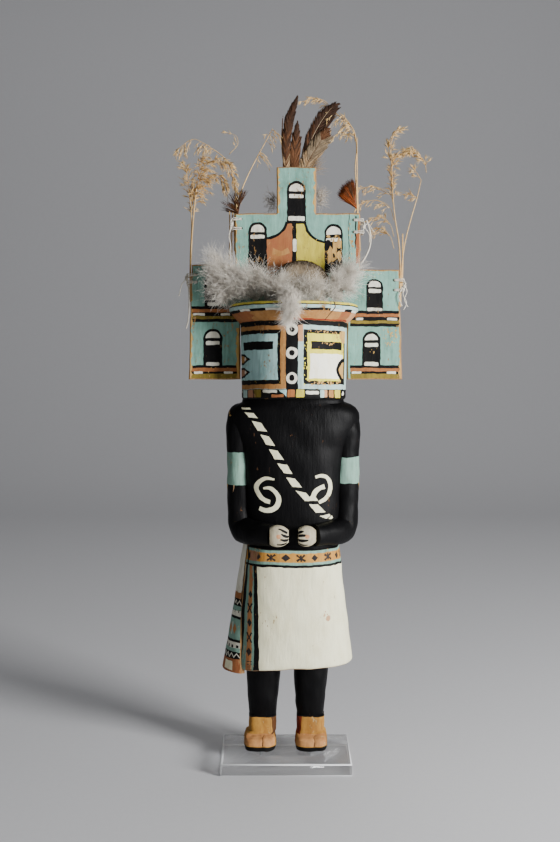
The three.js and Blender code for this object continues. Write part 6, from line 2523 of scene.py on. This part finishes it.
@dataclass(frozen=True)
class Panicle:
    """A drooping head of dry grass: side twigs that carry pointed seeds."""

    axis: tuple[tuple[float, float], ...]
    depth: float
    twigs: int
    length: float
    droop: float = 0.5
    sweep: tuple[float, float] = (0.0, 0.0)
    seeds: int = 5
    seed_length: float = 4.2
    stations: int = 40

    def grow(self, tangle: Tangle, rng: np.random.Generator, tie: tuple[float, float]) -> None:
        """Adds the head to a bundle.

        Args:
            tangle: The bundle.
            rng: Source of chance.
            tie: Where the bundle is tied, as x and level.
        """
        line = spline([(tie[0] + x, tie[1] + z) for x, z in self.axis], self.stations)
        middle = np.column_stack((line[:, 0], np.full(self.stations, self.depth), line[:, 1]))
        tangle.grow(middle[None, ::3], 0.3, 0.12, Fibre.STRAW)
        at = np.sort(rng.uniform(0, self.stations - 1, self.twigs)).astype(int)
        ahead = unit(np.gradient(middle, axis=0))[at]
        aside = unit(np.cross(ahead, rng.normal(size=ahead.shape)))
        headings = (ahead + aside * rng.uniform(0.4, 1.3, (self.twigs, 1)) * (1, 0.6, 1)
                    + (self.sweep[0], 0, self.sweep[1]))
        lengths = self.length * rng.uniform(0.5, 1.1, self.twigs) * (1.1 - 0.5 * at / (self.stations - 1))
        twigs = curling(middle[at], headings, lengths, 7, 0.18, rng)
        t = np.linspace(0, 1, 7)
        twigs[..., 2] -= self.droop * lengths[:, None] * t**2
        tangle.grow(twigs, 0.13, 0.08, Fibre.STRAW)
        which = np.repeat(np.arange(self.twigs), self.seeds)
        place = rng.uniform(1.5, 5.999, len(which))
        low = place.astype(int)
        part = (place - low)[:, None]
        start = twigs[which, low] * (1 - part) + twigs[which, low + 1] * part
        facing = unit(twigs[which, low + 1] - twigs[which, low]) + rng.normal(size=start.shape) * 0.3
        facing[:, 2] -= 0.25 * self.droop
        size = self.seed_length * rng.uniform(0.65, 1.2, len(which))
        seeds = curling(start, facing, size, 5, 0.12, rng)
        radii = np.broadcast_to((0.06, 0.27, 0.24, 0.1, 0.0), seeds.shape[:2])
        for odd, fibre in enumerate((Fibre.STRAW_SEED, Fibre.STRAW)):
            chosen = np.arange(len(seeds)) % 2 == odd
            tangle.add(strands(seeds[chosen], radii[chosen]), fibre)


Stem = tuple[tuple[tuple[float, ...], ...], float, float]


@dataclass(frozen=True)
class Bundle:
    """A bundle of dry grass: where it's tied, its stems, the sprays that bow from them and its seed heads.

    A stem is its points, as x, level and depth from the tie, and its first and last radius.
    """

    name: str
    seed: int
    tie: tuple[float, float]
    stems: tuple[Stem, ...]
    heads: tuple[Panicle, ...]
    sprays: tuple[tuple[float, float], ...] = ()

    def _stem(self, tangle: Tangle, points: Sequence[tuple[float, ...]], start: float, end: float) -> None:
        """Adds a round stem, with its points as x, level and depth from the tie."""
        x, z = self.tie
        line = spline([(x + p[0], GRASS_SPOT + (p[2] if len(p) > 2 else 0.0), z + p[1]) for p in points], 60)
        steps = np.linspace(start, end, len(line))
        made, faces = rope(line, 1.0, sides=8, twist=1e6)
        middle = np.repeat(line, 8, axis=0)
        made[:-2] = middle + (made[:-2] - middle) * np.repeat(steps, 8)[:, None]
        tangle.add((made, faces), Fibre.STRAW)

    def _spray(self, tangle: Tangle, level: float, reach: float, rng: np.random.Generator) -> None:
        """Adds a thin stem that sweeps to the left, with its seeds."""
        line = ((-4.2, level - 12, 0.4), (-7, level - 3, 2), (-7 - reach * 0.4, level + 2, 4),
                (-7 - reach, level - 1, 6))
        self._stem(tangle, line, 0.22, 0.1)
        axis = tuple((x, z) for x, z, _ in line[1:])
        Panicle(axis, GRASS_SPOT + 5, 16, 7.0, 0.4, (-0.7, 0.0), 4, 3.6).grow(tangle, rng, self.tie)

    def build(self) -> None:
        """Grows the bundle."""
        rng = np.random.default_rng(self.seed)
        tangle = Tangle(f"grass_plume_{self.name}")
        for points, start, end in self.stems:
            self._stem(tangle, points, start, end)
        for level, reach in self.sprays:
            self._spray(tangle, level, reach, rng)
        for head in self.heads:
            head.grow(tangle, rng, self.tie)
        tangle.build("grass", f"grass_{self.name}")


@dataclass
class Grasses:
    """Four bundles of dry grass, tied to the edges of the board."""

    stem: float = 0.62

    def _outer_left(self) -> Bundle:
        """The dense nodding plume over the left wing."""
        depth = GRASS_SPOT + 1.0
        stems = (
            (((0, -24), (0, -8), (0.4, 6), (1.6, 27), (3, 42), (4.4, 54)), self.stem, 0.4),
            (((0, -24, 0.6), (-0.2, -8, 0.6), (0, 8, 0.6), (0.8, 28, 0.6), (0, 42, 0.6), (-1.2, 52, 0.6)),
             self.stem * 0.8, 0.3),
        )
        heads = (
            Panicle(((3, 42), (4.6, 56), (9, 66), (17, 71), (24, 68), (28.5, 58), (29, 48)), depth, 66, 9.0,
                    0.5, (0.25, 0.1), 6),
            Panicle(((0, 44), (-1, 54), (-3, 64), (-3.6, 68)), depth + 1, 30, 8.0, 0.3, (-0.2, 0.3), 5),
            Panicle(((2, 44), (5, 55), (11, 61), (18, 61), (24, 55)), depth + 2, 54, 9.0, 0.6, (0.2, -0.1),
                    6),
            Panicle(((1, 34), (1.8, 44), (3, 52)), depth, 22, 6.0, 0.2, (0.0, 0.6), 5),
            Panicle(((5, 58), (8, 70), (12, 74)), depth, 22, 7.0, 0.5, (0.0, 0.1), 5),
        )
        return Bundle("outer_left", 131, (WING_EDGE_LEFT - 0.4, WING_TOP_LEFT), stems, heads)

    def _inner_left(self) -> Bundle:
        """A thin nodding stem and a straight one beside the left step."""
        depth = GRASS_SPOT + 7
        stems = (
            (((0, -24), (-0.2, -4), (0.2, 10, 2.4), (-0.6, 24, 5.4), (-5, 37, 6.6), (-12, 43.6, 7),
              (-18, 47.5, 7)), self.stem * 0.8, 0.25),
            (((0, -24, 0.6), (0, -4, 0.6), (2.4, 10, 0.6), (8, 25, 0.6), (14, 37, 0.6), (20.5, 49, 0.6),
              (25.4, 58, 0.6)), self.stem * 0.8, 0.22),
            (((-3.6, -30, -3), (-3.2, -12, -3), (-3.4, 2, -3)), 0.5, 0.35),
            (((-1.6, -33, -4.6), (-1.8, -12, -4.4), (-1.2, 1, -4)), 0.55, 0.4),
        )
        heads = (
            Panicle(((-17, 47), (-22, 50), (-28, 52.4), (-33, 50), (-38, 46)), depth, 22, 8.0, 1.0,
                    (-0.1, -0.3), 4, 4.0),
            Panicle(((-12, 43.6), (-20, 48.8)), depth, 10, 9.0, 1.1, (-0.2, -0.4), 4, 3.6),
            Panicle(((20, 48), (25.4, 58)), GRASS_SPOT, 9, 9.0, 1.0, (0.1, -0.7), 4, 4.0),
            Panicle(((15, 39), (19, 46)), GRASS_SPOT, 6, 11.0, 1.2, (0.1, -0.7), 4, 4.0),
            Panicle(((-4, 42), (2, 50), (1, 54), (-6, 57)), depth, 7, 4.5, 0.2, (-0.8, 0.2), 3, 3.4),
        )
        return Bundle("inner_left", 132, (TIER_LEFT - 0.4, TIER_TOP), stems, heads)

    def _inner_right(self) -> Bundle:
        """The tall stem at the right step, whose head bows back over the crest."""
        stems = (
            (((0, -24), (-1.6, -4), (-2.4, 17.5), (-3.2, 30), (-2.4, 49, 2), (-4.4, 58, 3), (-11, 65, 4),
              (-17, 70.3, 5), (-25, 78.5, 6), (-30, 79.6, 6), (-38.6, 77, 6)), self.stem, 0.18),
            (((0, -20, 0.8), (-1.2, 0, 0.8), (-1.8, 20, 0.8), (-2.0, 52, 0.8)), self.stem * 0.8, 0.3),
        )
        heads = (
            Panicle(((-3, 50), (-4.4, 58), (-11, 66)), GRASS_SPOT + 3, 26, 11.0, 0.8, (-0.5, -0.2), 5, 3.8),
            Panicle(((-11, 65), (-17, 70.3), (-22, 75)), GRASS_SPOT + 4.5, 24, 11.0, 0.9, (-0.7, -0.3), 6,
                    3.8),
            Panicle(((-22, 75), (-29, 79.8), (-38.6, 77.4)), GRASS_SPOT + 6, 14, 5.5, 0.5, (-0.6, 0.0), 4,
                    3.8),
            Panicle(((-5, 52), (-12, 56), (-21, 50)), GRASS_SPOT + 3, 10, 6.5, 0.6, (-0.4, 0.0), 4, 3.6),
        )
        return Bundle("inner_right", 133, (TIER_RIGHT + 0.4, TIER_TOP), stems, heads)

    def _outer_right(self) -> Bundle:
        """Two stems over the right wing, and sprays that sweep to the left."""
        stems = (
            (((0, -24), (0, -4), (-0.8, 18), (-3.6, 35.6), (-5, 51), (-5.8, 70), (-6.6, 80.8), (-2.4, 93),
              (3, 95)), self.stem, 0.16),
            (((0, -24, 0.6), (0.6, -4, 0.6), (3, 18, 0.6), (7.4, 35.6, 0.6), (11.2, 48.7, 0.6),
              (14, 60.8, 0.6)), self.stem * 0.8, 0.2),
            (((1, -10, 0.8), (1.6, 6, 0.8), (1.6, 25, 0.8)), self.stem, 0.45),
        )
        heads = (
            Panicle(((-5, 48), (-5.8, 66), (-6, 76)), GRASS_SPOT + 1, 30, 6.5, 0.2, (0.1, 0.7), 5),
            Panicle(((-5.8, 72), (-8, 82), (-6, 90), (-1, 95)), GRASS_SPOT + 1, 28, 7.0, 0.2, (0.4, 0.4), 5),
            Panicle(((-5.6, 68), (-2, 79), (6, 81)), GRASS_SPOT + 1, 20, 5.5, 0.3, (0.6, 0.1), 5),
            Panicle(((17.6, 66), (16, 74), (10, 79), (4, 80)), GRASS_SPOT + 1, 32, 5.0, 0.2, (-0.3, 0.3), 5),
            Panicle(((14, 60.8), (11, 66), (7, 70)), GRASS_SPOT + 1, 8, 4.5, 0.2, (-0.5, 0.3), 4),
            Panicle(((11.2, 49), (7, 51), (3, 52)), GRASS_SPOT + 1, 8, 4.0, 0.3, (-0.5, 0.1), 4),
        )
        return Bundle("outer_right", 134, (WING_EDGE_RIGHT + 0.4, WING_TOP_RIGHT), stems, heads,
                      ((55, 26), (46, 21), (35, 15), (27, 12)))

    def build(self) -> None:
        """Makes all four bundles."""
        for bundle in (self._outer_left(), self._inner_left(), self._inner_right(), self._outer_right()):
            bundle.build()


@dataclass
class StringTie:
    """White cotton string wound through two holes and round the stems, with a knot at the side."""

    name: str
    side: int
    edge: float
    levels: tuple[float, float]
    tails: tuple[tuple[tuple[float, float], ...], ...] = ()
    radius: float = 0.34
    reach: float = 1.9

    def _turn(self, z: float, lean: float) -> Array:
        """One turn round the board's edge and the stems, level at a hole's height."""
        inner = self.edge - self.side * HOLE_INSET
        outer = self.edge + self.side * self.reach
        front, back = BOARD_FRONT - 0.75, BOARD_BACK + 4.0
        middle, across = (inner + outer) / 2, (front + back) / 2
        corners = (
            (inner, front, 0.0), (middle, front - 0.1, 0.2), (outer - 0.6 * self.side, front, 0.5),
            (outer, front + 0.9, 0.6), (outer + 0.1 * self.side, across, 0.4), (outer, back - 0.9, 0.2),
            (outer - 0.6 * self.side, back, 0.1), (middle, back, 0.0), (inner, back, -0.1),
            (inner, across, 0.0), (inner, front, 0.0),
        )
        line = spline([(x, y, z + share * lean) for x, y, share in corners], 120)[:-1]
        return line if self.side > 0 else line[::-1]

    def build(self) -> None:
        """Winds the turns and ties the knot."""
        rng = np.random.default_rng(int(abs(self.edge) * 10))
        tangle = Tangle(f"cotton_{self.name}")
        high, low = self.levels
        for z in self.levels:
            for k, lean in enumerate((0.5, -0.6)):
                tangle.add(rope(self._turn(z + 0.42 - 0.84 * k, lean), self.radius, closed=True),
                           Fibre.COTTON)
        outer = self.edge + self.side * (self.reach + 0.1)
        front = BOARD_FRONT - 0.4
        middle = (high + low) / 2
        line = [(outer - 0.3 * self.side, front, high + 0.6),
                (outer + 0.7 * self.side, front - 0.6, middle + 1),
                (outer, front - 0.8, middle - 1), (outer + 0.4 * self.side, front, low - 0.6)]
        tangle.add(rope(spline(line, 40), self.radius), Fibre.COTTON)
        for k in range(3):
            angle = np.linspace(0, 2 * math.pi, 41)[:-1] + k
            tilt = rng.uniform(-0.7, 0.7)
            ring = np.column_stack((0.9 * np.cos(angle), 0.8 * np.sin(angle), 0.9 * np.sin(angle + tilt)))
            ring += (outer + 0.3 * self.side, front - 0.4, middle + (k - 1) * 0.7)
            tangle.add(rope(ring, self.radius, closed=True), Fibre.COTTON)
        for tail in self.tails:
            points = [(outer + 0.2 * self.side, front - 0.6, middle)]
            points += [(x, front - 0.9 - 0.3 * i, z) for i, (x, z) in enumerate(tail)]
            line = spline(points, 50)
            line += np.column_stack([waviness(line, 9, 7 + k) for k in range(3)]) * 0.16
            tangle.add(rope(line, self.radius * 0.85), Fibre.COTTON)
        tangle.build("string", f"string_tie_{self.name}")


def all_ties() -> list[StringTie]:
    """The four ties, each beside its bundle of grass."""
    tails = (
        (((-74.0, 76.6), (-75.0, 72.6), (-76.0, 68.6)),),
        (((-42.6, 108.0), (-42.0, 101.0), (-42.6, 96.0)),),
        (((49.0, 116.5), (51.5, 113.0), (53.0, 110.5)), ((47.6, 113.0), (50.4, 108.0), (49.8, 104.0))),
        (((75.0, 72.0), (73.4, 66.0), (75.4, 61.5)), ((72.4, 70.0), (74.6, 64.0), (72.6, 59.5)),
         ((71.4, 73.0), (69.6, 68.0), (71.6, 62.0))),
    )
    return [StringTie(*tie, ends) for tie, ends in zip(TIES, tails)]


# The room

@dataclass(frozen=True)
class Lamp:
    """A soft square light, in metres and watts."""

    name: str
    place: tuple[float, float, float]
    size: float
    power: float


@dataclass
class Studio:
    """Camera, pale floor and soft light, in metres."""

    camera_place: tuple[float, float, float] = (-0.0039, -0.84865, 0.308)
    camera_pitch: float = 84.682
    focal_length: float = 55.58
    aim: tuple[float, float, float] = (0.0, 0.0, 0.22)
    lamps: tuple[Lamp, ...] = (
        Lamp("key", (0.84, -0.68, 0.38), 0.34, 27.0),
        Lamp("fill", (-1.1, -1.2, 0.5), 1.2, 1.3),
        Lamp("top", (0.1, 0.5, 1.4), 0.8, 3.0),
    )
    room_colour: tuple[float, float, float, float] = (0.62, 0.63, 0.66, 1.0)
    room_strength: float = 0.15
    floor_level: float = -0.0002
    floor_front: float = -2.4
    floor_back: float = 1.0
    floor_half_width: float = 3.5
    curve: float = 0.8
    wall_top: float = 4.0

    def camera(self) -> None:
        """Sets up the camera at the viewing angle."""
        data = bpy.data.cameras.new("camera")
        data.lens = self.focal_length
        data.sensor_width = 36.0
        data.sensor_fit = "AUTO"
        camera = bpy.data.objects.new("camera", data)
        camera.location = self.camera_place
        camera.rotation_euler = (math.radians(self.camera_pitch), 0, 0)
        bpy.context.scene.collection.objects.link(camera)
        bpy.context.scene.camera = camera

    def _light(self, lamp: Lamp) -> None:
        """Adds a lamp that looks at the doll."""
        data = bpy.data.lights.new(lamp.name, "AREA")
        data.size = lamp.size
        data.energy = lamp.power
        light = bpy.data.objects.new(lamp.name, data)
        light.location = lamp.place
        light.rotation_euler = (Vector(self.aim) - Vector(lamp.place)).to_track_quat("-Z", "Y").to_euler()
        bpy.context.scene.collection.objects.link(light)

    def build(self) -> None:
        """Lays the floor and hangs the lights."""
        floor = self._sweep()
        for lamp in self.lamps:
            self._light(lamp)
        world = bpy.data.worlds.new("pale_room")
        world.use_nodes = True
        background = world.node_tree.nodes["Background"]
        background.inputs["Color"].default_value = self.room_colour
        background.inputs["Strength"].default_value = self.room_strength
        bpy.context.scene.world = world

    def _sweep(self) -> bpy.types.Object:
        """Makes a pale floor that curves up behind the doll."""
        low, back, curve = self.floor_level, self.floor_back, self.curve
        profile = [(self.floor_front, low), (back, low)]
        profile += [(back + curve * math.sin(a), low + curve - curve * math.cos(a))
                    for a in np.linspace(0.15, math.pi / 2, 12)]
        profile.append((back + curve, self.wall_top))
        points, faces = [], []
        half = self.floor_half_width / MM
        for y, z in profile:
            points += [(-half, y / MM, z / MM), (half, y / MM, z / MM)]
        for i in range(len(profile) - 1):
            faces.append((2 * i, 2 * i + 1, 2 * i + 3, 2 * i + 2))
        nodes = Nodes("pale_paper")
        tooth = nodes.noise((240, 240, 240), 3, 0.6)
        nodes.colour(nodes.mix(tooth, (206, 206, 208), (200, 200, 203)))
        nodes.shader.inputs["Roughness"].default_value = 0.9
        nodes.bump(tooth, 0.0001, 0.3)
        return new_object("floor", np.array(points), np.array(faces), [nodes.material])


def main() -> None:
    """Builds the doll piece by piece, in the order that the cords and the camera need."""
    logging.basicConfig(level=logging.INFO, format="%(name)s: %(message)s")
    studio = Studio()
    studio.camera()
    Cords().build()
    CarvedFigure().build()
    Tableta().build()
    Down().build()
    BreastFeather().build()
    Crest().build()
    SideFeathers().build()
    Grasses().build()
    for tie in all_ties():
        tie.build()
    DisplayBase().build()
    studio.build()


if __name__ == "__main__":
    main()
